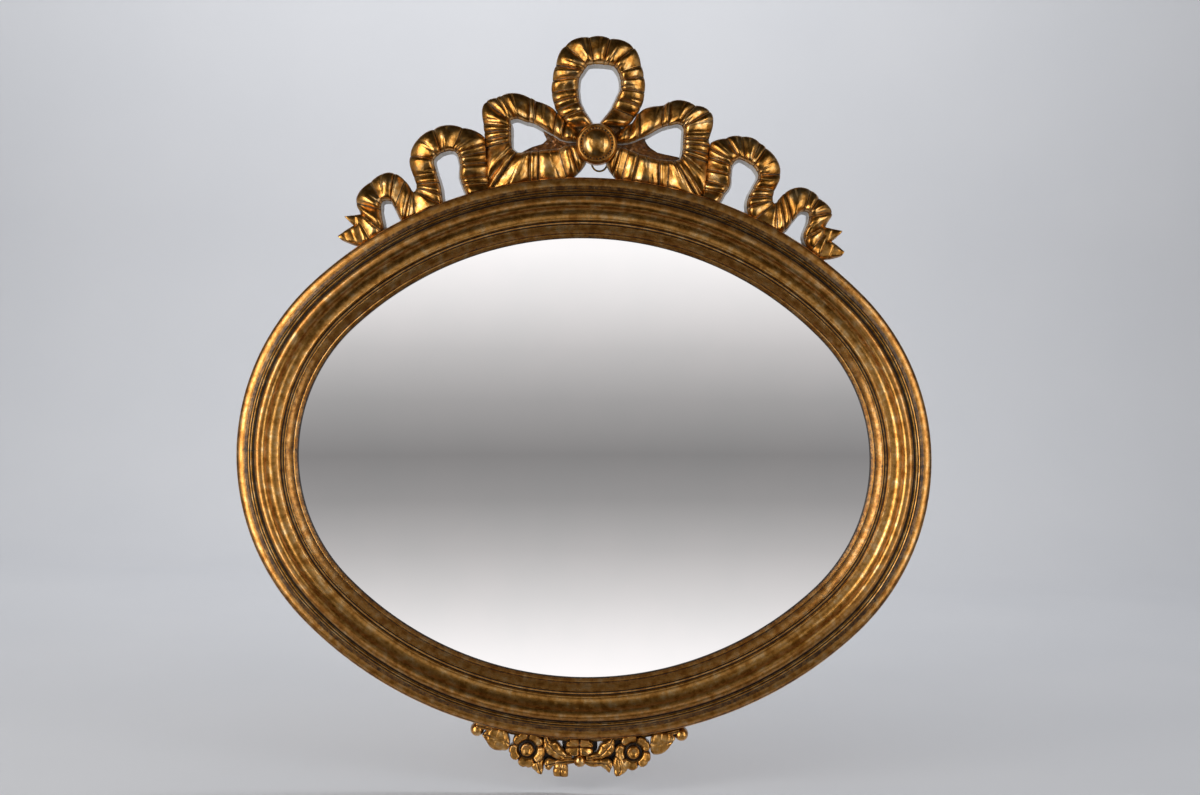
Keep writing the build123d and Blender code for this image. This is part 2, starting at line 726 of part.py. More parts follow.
# Garland: curved ground along the frame, flowers, leaves, scrolls, rosette, berries and bead
with BuildPart() as garland:
    with BuildSketch(Plane.XZ.offset(garland_back)):
        add(oval_face(moulding_width + glue_gap + ground_width))
        add(oval_face(moulding_width + glue_gap), mode=Mode.SUBTRACT)
        with Locations((sum(ground_ends) / 2, -outer_long_radius)):
            ground_size = (ground_ends[1] - ground_ends[0], 2 * (outer_long_radius - half_height))
            Rectangle(*ground_size, mode=Mode.INTERSECT)
    extrude(amount=ground_thickness)
    add(raised(on_frame(rosette_ground, -1), garland_back, ground_thickness))
    add(raised(on_frame(ribbon_fork, -1), garland_back, leaf_side))
    for ribs in garland_leaves.values():
        add(leaf(ribs))
    for x, z in on_frame(flower_places, -1):
        flower = front_plane(x, z, garland_back)
        with Locations(flower):
            with PolarLocations(flower_radius - petal_radius, petal_count, start_angle=petal_turn):
                Cone(petal_radius, petal_top_radius, petal_thickness, align=upright)
        with BuildSketch(flower):
            Circle(flower_radius - petal_radius)
        extrude(amount=flower_pit_height)
        with BuildSketch(flower.offset(flower_pit_height)):
            Circle(flower_pit_radius)
        extrude(amount=petal_thickness, mode=Mode.SUBTRACT)
        with BuildSketch(flower.offset(flower_pit_height)):
            Circle(flower_eye_radius)
        extrude(amount=flower_eye_height, taper=flower_eye_taper)
    for place in on_frame(berry_places, -1):
        add(bud(place, berry_radius, berry_height))
    for place in on_frame([bead_place], -1):
        add(bud(place, bead_radius, bead_height))
    with Locations(*[front_plane(x, z, garland_back) for x, z in on_frame(lobe_places, -1)]):
        Cone(lobe_radius, lobe_top_radius, lobe_thickness, align=upright)
    add(frame_block.part, mode=Mode.SUBTRACT)
    for plane in garland_pins:
        with BuildSketch(plane):
            Circle(pin_radius + dowel_clearance)
    extrude(amount=pin_grip + dowel_end_gap, mode=Mode.SUBTRACT)
garland.part.label = "garland"
export_step(garland.part, "parts/garland.step")

# Hanger plate on the back of the knot, with the eye that carries the ring
with BuildPart() as hanger_plate:
    with BuildSketch(Plane.XZ.offset(crest_back - plate_thickness)):
        with Locations((hanger_x, eye_z + plate_gap + plate_length / 2)):
            RectangleRounded(plate_width, plate_length, plate_corner)
        with Locations((hanger_x, eye_z)):
            Rectangle(eye_width, 2 * plate_gap, align=(Align.CENTER, Align.MIN))
        with Locations(*screw_places):
            Circle(screw_radius + screw_clearance, mode=Mode.SUBTRACT)
    extrude(amount=plate_thickness)
    with BuildSketch(Plane.YZ.offset(hanger_x - eye_width / 2)):
        with Locations((-eye_depth, eye_z)):
            Circle(eye_radius + plate_thickness)
            Circle(eye_radius, mode=Mode.SUBTRACT)
    extrude(amount=eye_width)
hanger_plate.part.label = "hanger_plate"
export_step(hanger_plate.part, "parts/hanger_plate.step")

# Ring that hangs in the eye
with BuildPart() as hanging_ring:
    with BuildSketch(cross_plane((hanger_x, eye_z - ring_radius), 90)) as ring_section:
        with Locations((ring_radius, eye_depth)):
            Rectangle(ring_thickness, ring_thickness)
        chamfer(ring_section.vertices(), length=ring_chamfer)
    revolve(axis=Axis((hanger_x, 0, eye_z - ring_radius), (0, -1, 0)))
hanging_ring.part.label = "hanging_ring"
export_step(hanging_ring.part, "parts/hanging_ring.step")

# Two slotted screws of the hanger plate
with BuildPart() as hanger_screws:
    with BuildSketch(Plane.XZ.offset(crest_back - plate_thickness)):
        with Locations(*screw_places):
            Circle(screw_radius)
    extrude(amount=screw_length)
    with BuildSketch(Plane.XZ.offset(crest_back - plate_thickness)):
        with Locations(*screw_places):
            Circle(screw_head_radius)
    extrude(amount=-screw_head_height, taper=screw_head_taper)
    with BuildSketch(Plane.XZ.offset(crest_back - plate_thickness - screw_head_height)):
        with Locations(*screw_places):
            Rectangle(2 * screw_head_radius, screw_slot_width, rotation=screw_slot_angle)
    extrude(amount=screw_slot_depth, mode=Mode.SUBTRACT)
hanger_screws.part.label = "hanger_screws"
export_step(hanger_screws.part, "parts/hanger_screws.step")
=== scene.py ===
import math
import bpy
import bmesh
import numpy as np
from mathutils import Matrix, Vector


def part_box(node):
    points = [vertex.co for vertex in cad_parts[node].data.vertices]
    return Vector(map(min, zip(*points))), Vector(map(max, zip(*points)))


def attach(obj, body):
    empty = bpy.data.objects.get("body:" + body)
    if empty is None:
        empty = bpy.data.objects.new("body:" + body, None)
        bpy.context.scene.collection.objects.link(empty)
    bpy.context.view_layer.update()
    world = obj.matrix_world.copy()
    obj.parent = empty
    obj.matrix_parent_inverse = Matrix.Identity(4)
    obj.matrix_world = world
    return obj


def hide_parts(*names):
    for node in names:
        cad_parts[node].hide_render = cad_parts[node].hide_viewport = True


# Oval mirror in a carved, water gilded wooden frame with a ribbon crest and a flower garland.
# Shapes are worked out in millimetres as x, depth in front of the wall, z, and stored in metres.

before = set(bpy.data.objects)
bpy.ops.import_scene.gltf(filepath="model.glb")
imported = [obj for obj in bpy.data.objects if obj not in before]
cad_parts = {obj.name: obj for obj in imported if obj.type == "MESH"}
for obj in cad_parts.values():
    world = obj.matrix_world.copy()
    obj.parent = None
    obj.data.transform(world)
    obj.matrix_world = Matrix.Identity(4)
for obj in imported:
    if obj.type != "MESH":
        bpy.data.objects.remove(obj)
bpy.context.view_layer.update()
mm = 0.001

ovalLow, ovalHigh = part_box("frame_lower_left")[0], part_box("frame_upper_right")[1]
oval = {
    "halfWidth": ovalHigh.x / mm,      # outer edge of the moulding, from the frame
    "halfHeight": ovalHigh.z / mm,
    "width": 62.0,                     # moulding from sight edge to outer edge
    "endRadius": 183.0,                # sight edge at the left and right ends
}
sightX = oval["halfWidth"] - oval["width"]
sightZ = oval["halfHeight"] - oval["width"]
endCentre = sightX - oval["endRadius"]
longRadius = (sightZ**2 + endCentre**2 - oval["endRadius"]**2) / (2 * (sightZ - oval["endRadius"]))
longCentre = longRadius - sightZ
turnAngle = math.atan2(longCentre, endCentre)
outerLong = longRadius + oval["width"]


def edgeHeight(x):
    # Height of the frame's outer edge over the middle: the long arc's circle at this x.
    return np.sqrt(outerLong**2 - np.asarray(x, float)**2) - longCentre


def onFrame(points, side=1):
    # Points given as x and distance beyond the outer edge, above (1) or below (-1), as x and z.
    points = np.asarray(points, float)
    return np.stack([points[..., 0], side * (edgeHeight(points[..., 0]) + points[..., 1])], -1)


def waves(size, seed, *coords):
    # Smooth unevenness from -1 to 1: a sum of eight sine waves of about this size in mm.
    draw = np.random.default_rng(seed)
    total = 0.0
    for _ in range(8):
        turn = draw.normal(size=len(coords))
        turn *= draw.uniform(0.6, 1.6) / np.linalg.norm(turn)
        phase = sum(k * c for k, c in zip(turn, coords)) * 2 * np.pi / size
        total = total + np.sin(phase + draw.uniform(0, 2 * np.pi))
    return total / 4


def arcThrough(start, end, sag, count=24):
    # Arc from start to end that bulges to the left of its direction by the sag.
    start, end = np.array(start, float), np.array(end, float)
    chord = np.linalg.norm(end - start)
    radius = (chord**2 / 4 + sag**2) / (2 * abs(sag))
    half = math.asin(chord / (2 * radius))
    along = (end - start) / chord
    left = np.array([-along[1], along[0]]) * np.sign(sag)
    turn = np.linspace(-half, half, count)[:, None]
    rise = radius * np.cos(turn) - radius + abs(sag)
    return (start + end) / 2 + along * radius * np.sin(turn) + left * rise


def resample(points, step):
    # The same line with points this far apart.
    points = np.asarray(points, float)
    run = np.r_[0, np.cumsum(np.linalg.norm(np.diff(points, axis=0), axis=1))]
    place = np.linspace(0, run[-1], max(2, int(run[-1] / step)))
    return np.stack([np.interp(place, run, points[:, i]) for i in range(points.shape[1])], -1)


def soften(line, reach):
    # Running average over 2 x reach + 1 points, with the two ends kept.
    padded = np.pad(line, ((reach, reach), (0, 0)), mode="reflect", reflect_type="odd")
    kernel = np.hanning(2 * reach + 3)[1:-1]
    kernel /= kernel.sum()
    return np.stack([np.convolve(padded[:, i], kernel, "valid") for i in range(line.shape[1])], -1)


# Materials


def linear(code, alpha=1.0):
    # sRGB hex to linear.
    parts = [int(code[i:i + 2], 16) / 255 for i in (1, 3, 5)]
    return tuple(p / 12.92 if p <= 0.04045 else ((p + 0.055) / 1.055)**2.4 for p in parts) + (alpha,)


def addNode(tree, kind, links=(), output=0, **settings):
    # Adds one node with its settings and gives one of its outputs. Links, as a list or by name or
    # number, hold a value or another node's output for each input.
    node = tree.nodes.new("ShaderNode" + kind)
    for key, value in settings.items():
        setattr(node, key, value)
    for key, value in links.items() if isinstance(links, dict) else enumerate(links):
        if isinstance(value, bpy.types.NodeSocket):
            tree.links.new(value, node.inputs[key])
        else:
            node.inputs[key].default_value = value
    return node.outputs[output] if node.outputs else node


def newMaterial(name):
    # An empty node tree with its shader, output and the object's own coordinates.
    material = bpy.data.materials.new(name)
    material.use_nodes = True
    tree = material.node_tree
    tree.nodes.clear()
    closure = addNode(tree, "BsdfPrincipled")
    output = addNode(tree, "OutputMaterial", [closure])
    return material, tree, closure.node, addNode(tree, "TexCoord", output="Object"), output


def setInputs(tree, shader, values):
    # Gives the shader's named inputs a value or a node's output each.
    for name, value in values.items():
        if isinstance(value, bpy.types.NodeSocket):
            tree.links.new(value, shader.inputs[name])
        else:
            shader.inputs[name].default_value = value


def grainOf(tree, place, sizeMm, detail=3.0, roughness=0.55, stretch=(1, 1, 1)):
    # Grain whose features are about this many mm, longer along an axis with a smaller stretch.
    spot = addNode(tree, "Mapping", {"Vector": place, "Scale": stretch})
    links = {"Vector": spot, "Scale": 1 / (sizeMm * mm), "Detail": detail, "Roughness": roughness}
    return addNode(tree, "TexNoise", links, "Fac")


smooth = {"interpolation_type": "SMOOTHSTEP"}
colours = {"data_type": "RGBA"}


def layTone(tree, pattern, low, high, base, tone, most=1.0):
    # Lays the tone over the base where the pattern rises from low to high.
    share = addNode(tree, "MapRange", [pattern, low, high, 0.0, most], **smooth)
    return addNode(tree, "Mix", {0: share, 6: base, 7: tone}, 2, **colours)


def reliefOf(tree, layers):
    # Normal of reliefs laid over each other, each a pattern, its full height in mm and a strength.
    normal = None
    for height, deepMm, strength in layers:
        links = {"Height": height, "Distance": deepMm * mm, "Strength": strength}
        if normal is not None:
            links["Normal"] = normal
        normal = addNode(tree, "Bump", links)
    return normal


# Colours of the gilding; the umber colour also serves as painted shade in hollows and creases.
gilding = {
    "leafDark": "#A97026", "leafMid": "#D79D4E", "leafLight": "#EBC387",
    "bole": "#8C4A1C", "umberAndShade": "#1C0C03", "gesso": "#BDBAB6", "dust": "#5A4A3A", "varnish": 0.28,
    "dirtAndShadeDull": 0.8, "boleDull": 0.35,
    "patchMm": 9.0, "speckMm": 0.9, "scratchMm": 0.5, "wearMm": 3.2,
    "roughness": 0.29, "coatRoughness": 0.3, "specular": 0.3,
    "wearReliefMm": 0.22, "speckReliefMm": 0.08, "scratchReliefMm": 0.04,
}


def makeGilding():
    # Water gilded wood: leaf burnished over red bole and toned with umber in the recesses, where the umber
    # mask also carries painted shade.
    # The eye sees soft patches of tone, worn red arrises, dark speckled hollows of umber and painted shade,
    # and grey bare gesso.
    g = gilding
    material, tree, shader, place, _ = newMaterial("Gilded_Carved_Wood")
    umberAndShade, worn, bare = (addNode(tree, "Attribute", output="Fac", attribute_name=name)
                         for name in ("umberAndShade", "bole", "gesso"))
    patch = grainOf(tree, place, g["patchMm"], 4.0, 0.62)
    speck = grainOf(tree, place, g["speckMm"], 4.0, 0.75)
    scratch = grainOf(tree, place, g["scratchMm"], 2.0, 0.6, (0.12, 1, 1))
    wear = grainOf(tree, place, g["wearMm"], 5.0, 0.7)
    gold = layTone(tree, patch, 0.36, 0.52, linear(g["leafDark"]), linear(g["leafMid"]))
    gold = layTone(tree, patch, 0.5, 0.7, gold, linear(g["leafLight"]))
    gold = layTone(tree, speck, 0.5, 0.78, gold, linear(g["leafDark"]), 0.55)
    rubbed = addNode(tree, "MapRange", [wear, 0.6, 0.78, 0, 0.25], **smooth)
    bole = addNode(tree, "Math", [worn, rubbed], operation="ADD", use_clamp=True)
    toned = addNode(tree, "Mix", {0: bole, 6: gold, 7: linear(g["bole"])}, 2, **colours)
    grime = addNode(tree, "MapRange", [wear, 0.35, 0.7, -0.14, 0.14], **smooth)
    dots = addNode(tree, "MapRange", [speck, 0.5, 0.78, -0.05, 0.22], **smooth)
    # Umber with painted shade from the mask, plus random grime and specks, mixes the leaf towards the umber
    # colour.
    dirtAndShade = addNode(tree, "Math", [umberAndShade, grime], operation="ADD")
    dirtAndShade = addNode(tree, "Math", [dirtAndShade, dots], operation="ADD")
    dirtAndShade = addNode(tree, "MapRange", [dirtAndShade, 0.1, 0.9, 0, 1], **smooth)
    toned = addNode(tree, "Mix", {0: dirtAndShade, 6: toned, 7: linear(g["umberAndShade"])}, 2, **colours)
    ragged = addNode(tree, "MapRange", [wear, 0.3, 0.7, -0.3, 0.3], **smooth)
    chalk = addNode(tree, "Math", [bare, ragged], operation="ADD")
    chalk = addNode(tree, "MapRange", [chalk, 0.45, 0.55, 0, 1], **smooth)
    dusty = layTone(tree, speck, 0.45, 0.7, linear(g["gesso"]), linear(g["dust"]), 0.6)
    dull = addNode(tree, "Math", [dirtAndShade, g["dirtAndShadeDull"]], operation="MULTIPLY")
    dull = addNode(tree, "Math", [dull, chalk], operation="MAXIMUM")
    boleDull = addNode(tree, "Math", [bole, g["boleDull"]], operation="MULTIPLY")
    dull = addNode(tree, "Math", [dull, boleDull], operation="MAXIMUM")
    rough = addNode(tree, "Math", [dull, 0.2], operation="MULTIPLY")
    rough = addNode(tree, "Math", [g["roughness"], rough], operation="ADD")
    grit = addNode(tree, "MapRange", [speck, 0.4, 0.8, 0, 0.18], **smooth)
    setInputs(tree, shader, {
        "Base Color": addNode(tree, "Mix", {0: chalk, 6: toned, 7: dusty}, 2, **colours),
        "Metallic": addNode(tree, "Math", [1.0, dull], operation="SUBTRACT", use_clamp=True),
        "Roughness": addNode(tree, "Math", [rough, grit], operation="ADD"),
        "Specular IOR Level": g["specular"],
        "Coat Weight": g["varnish"],
        "Coat Roughness": g["coatRoughness"],
        "Normal": reliefOf(tree, [(wear, g["wearReliefMm"], 0.3), (speck, g["speckReliefMm"], 0.4),
                                  (scratch, g["scratchReliefMm"], 0.3)]),
    })
    return material


def makeWood(name, light, dark, grainMm, alongAxis, roughness):
    # Bare wood, sawn and scraped: streaks drawn out along the grain, darker pores between them.
    material, tree, shader, place, _ = newMaterial(name)
    stretch = [1.0, 1.0, 1.0]
    stretch["xyz".index(alongAxis)] = 0.06
    grain = grainOf(tree, place, grainMm, 4.0, 0.6, stretch)
    fine = grainOf(tree, place, grainMm * 0.2, 2.0, 0.7, stretch)
    stain = grainOf(tree, place, 60.0, 3.0, 0.6)
    tone = layTone(tree, grain, 0.35, 0.68, linear(light), linear(dark))
    tone = layTone(tree, fine, 0.5, 0.8, tone, linear(dark), 0.5)
    setInputs(tree, shader, {
        "Base Color": layTone(tree, stain, 0.5, 0.75, tone, linear("#4A3524"), 0.45),
        "Roughness": roughness,
        "Normal": reliefOf(tree, [(grain, 0.4, 0.4), (fine, 0.15, 0.5)]),
    })
    return material


def makeMirror():
    # Silvered float glass: an even bright reflection with the faintest haze.
    material, tree, shader, place, _ = newMaterial("Silvered_Glass")
    haze = grainOf(tree, place, 90.0, 3.0, 0.6)
    setInputs(tree, shader, {
        "Base Color": layTone(tree, haze, 0.3, 0.7, linear("#F2F0F0"), linear("#EFEEEE")),
        "Metallic": 1.0,
        "Roughness": addNode(tree, "MapRange", [haze, 0.35, 0.8, 0.003, 0.006], **smooth),
    })
    return material


def makeMetal(name, bright, dark, roughness):
    # Aged metal: bright where it is handled, dull brown film in blotches, drawn scratches.
    material, tree, shader, place, _ = newMaterial(name)
    blotch = grainOf(tree, place, 3.0, 4.0, 0.65)
    fine = grainOf(tree, place, 0.4, 2.0, 0.6, (0.15, 1, 1))
    film = [blotch, 0.35, 0.75, roughness, roughness + 0.25]
    setInputs(tree, shader, {
        "Base Color": layTone(tree, blotch, 0.4, 0.68, linear(bright), linear(dark)),
        "Metallic": 1.0,
        "Roughness": addNode(tree, "MapRange", film, **smooth),
        "Normal": reliefOf(tree, [(fine, 0.05, 0.4)]),
    })
    return material


def makeCork():
    # Pressed cork: brown grains with dark gaps.
    material, tree, shader, place, _ = newMaterial("Pressed_Cork")
    cells = addNode(tree, "TexVoronoi", {"Vector": place, "Scale": 1 / (1.2 * mm)}, "Distance")
    setInputs(tree, shader, {
        "Base Color": layTone(tree, cells, 0.1, 0.7, linear("#B98A57"), linear("#5B3B20")),
        "Roughness": 0.9,
        "Normal": reliefOf(tree, [(cells, 0.3, 0.6)]),
    })
    return material


gilt = makeGilding()
limewood = makeWood("Bare_Limewood", "#B08E62", "#86663F", 5.0, "x", 0.75)
board = makeWood("Spruce_Board", "#A9855A", "#7C5B37", 9.0, "z", 0.8)
beech = makeWood("Turned_Beech", "#C79F72", "#9C744A", 2.5, "z", 0.6)
mirror = makeMirror()
steel = makeMetal("Oxidised_Steel", "#8C8882", "#3B322B", 0.35)
brass = makeMetal("Aged_Brass", "#B99244", "#5D431D", 0.28)
cork = makeCork()
print("materials done")

# Meshes


def surface(name, rings, attributes, nodes=(), kinds=None, materials=(gilt,), loop=False,
            body="mirror"):
    # Mesh from rings of points: rows along the form, columns round its closed section.
    # The rows close on themselves where loop is true, and else both ends are capped.
    rows, cols = rings.shape[:2]
    places = np.stack([rings[..., 0], -rings[..., 1], rings[..., 2]], -1).reshape(-1, 3) * mm
    index = np.arange(rows * cols).reshape(rows, cols)
    upper = np.roll(index, -1, 0) if loop else index[1:]
    lower = index if loop else index[:-1]
    quads = np.stack([lower, np.roll(lower, -1, 1), np.roll(upper, -1, 1), upper], -1).reshape(-1, 4)
    a, b, c, d = (places[quads[:, i]] for i in range(4))
    volume = np.einsum("ij,ij->i", a, np.cross(b, c)).sum() + np.einsum("ij,ij->i", a, np.cross(c, d)).sum()
    if volume < 0:
        quads = quads[:, ::-1]
    faces = quads.tolist()
    if not loop:
        first, last = index[0].tolist(), index[-1].tolist()
        faces += [first[::-1], last] if volume >= 0 else [first, last[::-1]]
    mesh = bpy.data.meshes.new(name)
    mesh.from_pydata(places.tolist(), [], faces)
    for material in materials:
        mesh.materials.append(material)
    if kinds is not None:
        count = lower.shape[0]
        marks = np.tile(kinds, (count, 1)).reshape(-1)
        marks = np.r_[marks, [0] * (len(faces) - len(marks))].astype(np.int32)
        mesh.polygons.foreach_set("material_index", marks)
    for key in ("umberAndShade", "bole", "gesso"):
        values = attributes.get(key)
        values = np.zeros((rows, cols)) if values is None else np.broadcast_to(values, (rows, cols))
        layer = mesh.attributes.new(key, "FLOAT", "POINT")
        layer.data.foreach_set("value", values.reshape(-1).astype(np.float32))
    mesh.polygons.foreach_set("use_smooth", [True] * len(mesh.polygons))
    tidy = bmesh.new()
    tidy.from_mesh(mesh)
    bmesh.ops.remove_doubles(tidy, verts=tidy.verts, dist=2e-6)
    for face in tidy.faces:
        if len(face.verts) > 4:
            face.smooth = False
            for edge in face.edges:
                edge.smooth = False
    tidy.to_mesh(mesh)
    tidy.free()
    piece = bpy.data.objects.new(name, mesh)
    bpy.context.scene.collection.objects.link(piece)
    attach(piece, body)
    if nodes:
        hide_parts(*nodes)
    return piece


def joined(name, pieces):
    # Several meshes as one piece.
    base = pieces[0]
    merged = bmesh.new()
    for piece in pieces:
        merged.from_mesh(piece.data)
    merged.to_mesh(base.data)
    merged.free()
    for piece in pieces[1:]:
        bpy.data.objects.remove(piece)
    base.name = name
    return base


# Moulding of the frame. Offsets run from the sight edge outwards, depths from the wall.
moulding = {
    "lip": [(0, 9.6), (0, 12.4), (3.3, 14.3), (4.5, 13.6)],
    "band": ((4.7, 13.7), (11.6, 19.2), 0.5),
    "fillets": [(11.7, 19.4), (12.2, 20.3), (12.8, 20.0), (13.5, 18.7), (16.5, 19.0), (17.4, 22.7),
                (18.8, 22.9)],
    "cove": ((19.2, 22.6), (30.8, 31.0), -2.9),
    "torus": ((31.0, 31.2), (41.2, 31.6), 2.6),
    "beads": [(41.8, 30.4), (42.6, 29.3), (43.6, 29.6), (44.6, 31.1), (45.4, 30.6), (46.3, 29.1),
              (47.2, 29.6), (47.9, 30.2), (48.8, 28.0), (49.6, 27.5), (52.8, 26.5)],
    "ovoloEnd": (62.0, 21.2), "rebate": (8.0, 9.6), "backRound": 1.2,
    "step": 0.34, "unevenMm": 0.05, "rowMm": 3.0, "boleShare": 0.55,
    "longWave": (34, 0.6), "shortWave": (9, 0.4), "blotchMm": 26, "seamMm": 0.4,
    # offset, umber in the hollows together with painted shade and painted highlight lines along the
    # profile, red bole where the leaf is worn
    "tones": [(0, 1, .2), (.7, .6, .8), (2.6, .5, .7), (3.2, 0, .1), (3.7, 0, .1), (4.5, 1, .2),
              (5.4, .5, .6), (8, .3, .55), (11, .4, .55), (11.6, .7, .3), (12.1, 0, 0), (12.7, .1, 0),
              (13.2, 1, .2), (14.2, 1, .2), (14.7, .25, .2), (15.4, .3, .2), (15.9, 1, .2),
              (16.6, 1, .2), (17.2, .1, 0), (18.5, 0, 0), (19.2, .6, .2), (20.5, .3, .1), (27, .2, 0),
              (30, .25, .1), (31, .02, 0), (33.2, .02, 0), (34.2, .25, .5), (38, .22, .6),
              (40.4, .4, .5), (41.6, 1, .3), (43.2, 1, .1), (43.9, .05, 0), (45, 0, 0), (45.8, 1, .1),
              (46.8, 1, .2), (47.4, .1, 0), (48.2, .15, 0), (48.9, 1, .3), (49.6, .7, .4),
              (52.2, .75, .5), (53.4, .3, .4), (56, .1, .4), (59, .2, .7), (60.3, .9, .5),
              (60.9, .5, .3), (61.3, .1, .1), (62, .2, .4)],
}


def mouldingProfile():
    # Section as offset and depth: straight runs and arcs, resampled, its arrises softened.
    m = moulding
    front = np.vstack([
        m["lip"], arcThrough(*m["band"]), m["fillets"], arcThrough(*m["cove"], 40),
        arcThrough(*m["torus"], 30), m["beads"],
    ])
    turn = np.linspace(0, np.pi / 2, 22)[1:, None]
    start, end = np.array(m["beads"][-1]), np.array(m["ovoloEnd"])
    ovolo = start + (end - start) * np.hstack([np.sin(turn), 1 - np.cos(turn)])
    front = np.vstack([front, ovolo])
    front = soften(resample(front, m["step"]), 1)
    side = resample(np.array([m["ovoloEnd"], (oval["width"], m["backRound"])]), 1.5)[1:]
    backEdge = oval["width"] - m["backRound"]
    back = resample(np.array([(backEdge, 0.0), (m["rebate"][0], 0.0)]), 2.5)
    inside = np.array([(m["rebate"][0], m["rebate"][1] / 2), m["rebate"], (4.0, m["rebate"][1])])
    return front, side, np.vstack([back, inside])


def frameQuarter(quarter, name):
    # Profile carried along the quarter's two arcs, with slight hand made unevenness.
    m = moulding
    front, side, rest = mouldingProfile()
    profile = np.vstack([front, side, rest])
    sx = 1 if quarter in (0, 3) else -1
    sz = 1 if quarter in (0, 1) else -1
    end = (endCentre * sx, 0.0, oval["endRadius"], turnAngle)
    long = (0.0, -longCentre * sz, longRadius, np.pi / 2 - turnAngle)
    arcs = [end, long] if quarter % 2 == 0 else [long, end]
    turn, rows = quarter * np.pi / 2, []
    for number, (cx, cz, radius, sweep) in enumerate(arcs):
        count = int(sweep * (radius + 31) / m["rowMm"])
        angles = turn + np.linspace(0, sweep, count + 1)[(1 if number else 0):]
        rows.append(np.stack([np.full_like(angles, cx), np.full_like(angles, cz),
                              np.full_like(angles, radius), angles], -1))
        turn += sweep
    rows = np.vstack(rows)
    cx, cz, radius, angle = (rows[:, i, None] for i in range(4))
    offset, depth = profile[None, :, 0], profile[None, :, 1]
    reach = radius + offset
    x, z = cx + reach * np.cos(angle), cz + reach * np.sin(angle)
    carved = np.r_[np.ones(len(front)), np.zeros(len(side) + len(rest))][None]
    run = np.cumsum(np.r_[0, np.hypot(np.diff(x[:, 60]), np.diff(z[:, 60]))])[:, None]
    (longMm, longShare), (shortMm, shortShare) = m["longWave"], m["shortWave"]
    uneven = (waves(longMm, 11 + quarter, run, offset * 2) * longShare
              + waves(shortMm, 21 + quarter, run, offset * 1.4) * shortShare)
    # Umber mask: umber with painted shade and painted highlight lines from the tones, random blotches, dark
    # joints at the ends, and on the outer side wall a tone that darkens towards the back.
    tones = np.array(m["tones"])
    umberAndShade = np.interp(offset, tones[:, 0], tones[:, 1]) * carved
    bole = np.interp(offset, tones[:, 0], tones[:, 2]) * carved * m["boleShare"]
    wet = np.clip(depth / 21.0, 0, 1)
    sideTone = (1 - carved) * (0.35 + 0.5 * (1 - wet))
    toEnd = np.minimum(run, run[-1] - run)
    seam = np.exp(-toEnd / m["seamMm"]) * carved * 0.5 * np.abs(waves(13, 91 + quarter, offset))
    blotch = np.clip(waves(m["blotchMm"], 31 + quarter, run, offset * 3), -1, 1)
    umberAndShade = np.clip(umberAndShade + sideTone + seam * 0.7 + 0.06 * blotch * carved, 0, 1)
    bole = np.clip(bole + 0.35 * (1 - carved) * wet + 0.06 * np.roll(blotch, 20, 0), 0, 1)
    depths = np.broadcast_to(depth, x.shape) + m["unevenMm"] * uneven * carved
    rings = np.stack([x, depths, z], -1)
    kinds = np.r_[np.zeros(len(front) + len(side)), np.ones(len(rest))].astype(int)
    masks = {"umberAndShade": umberAndShade, "bole": bole}
    return surface(name + "_moulding", rings, masks, [name], kinds, (gilt, limewood))


quarters = ("frame_upper_right", "frame_upper_left", "frame_lower_left", "frame_lower_right")
for quarter, name in enumerate(quarters):
    frameQuarter(quarter, name)
print("moulding done")

# Ribbons of the crest: each crease as its outer and inner end, x and distance over the frame's edge
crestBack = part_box("crest_bow")[1].y / -mm
ribbonCut = {
    "side": 13.0, "crown": 8.0, "creaseDrop": 6.0, "dropShare": 0.36, "rowMm": 0.7, "cols": 44,
    "swell": 0.045, "swellMost": 2.2, "lean": 3.0, "valleyMm": 0.8, "subDrop": 1.8, "subMm": 0.55,
    "uneven": 0.3, "vein": 0.0, "tilt": 6.0, "tiltPower": 1.3,
    "bulge": 0.7, "innerSwell": 0.03, "innerMost": 0.8,    # how a pleat bulges over its two edges
    "skews": [0.55, 0.7, 1.4, 1.8],                        # where between its creases it is highest
    "archPeak": 0.96, "archPower": 3.2, "oneCut": 15, "twoCuts": 28, "rimMm": 1.1, "footRows": 5,
}
loopCreases = [
    ((-25, 53.3), (2, 52.5)), ((-32.5, 63.8), (-10, 70.6)), ((-38, 71.8), (-14, 78.7)),
    ((-41, 80), (-15.5, 84.8)), ((-43.5, 90.8), (-16.5, 92.8)), ((-43, 103.7), (-15.5, 104.8)),
    ((-40, 119.4), (-11.5, 111.7)), ((-30.5, 139.6), (-7.5, 117.6)), ((-6, 148.1), (-1, 119.5)),
    ((16, 147.3), (10, 119.6)), ((40.5, 140), (20.5, 118)), ((49, 121.9), (26.5, 110.4)),
    ((52, 110.8), (28.5, 103.5)), ((53, 94.9), (28.5, 94.5)), ((49.5, 79.5), (24.5, 84.2)),
    ((43, 67.7), (20, 74)), ((34, 55.9), (6, 54.5)),
]
leftBowCreases = [
    ((-13, 48.7), (-14, 38.7)), ((-29, 60), (-32, 41.2)), ((-38, 70.3), (-41, 47)),
    ((-60.5, 84.5), (-62, 60.7)), ((-66, 88), (-66.5, 62.4)), ((-97, 95.4), (-83, 68.3)),
    ((-101.5, 94.6), (-86, 67)), ((-112, 93), (-86, 65.6)), ((-114.2, 70.1), (-85.5, 60)),
    ((-113, 61.3), (-85.3, 55.9)), ((-112, 53), (-85.2, 50.4)), ((-111, 44.7), (-85, 44.3)),
    ((-109, 8), (-83, 35.9)), ((-107, -4), (-79.5, 32.7)), ((-64, -0.5), (-64, 31)),
    ((-56, -0.7), (-56, 30.3)), ((-25, -1.7), (-35, 31)), ((-14, 6.2), (-24, 34.2)),
    ((-6, 16.5), (-12, 33.7)),
]
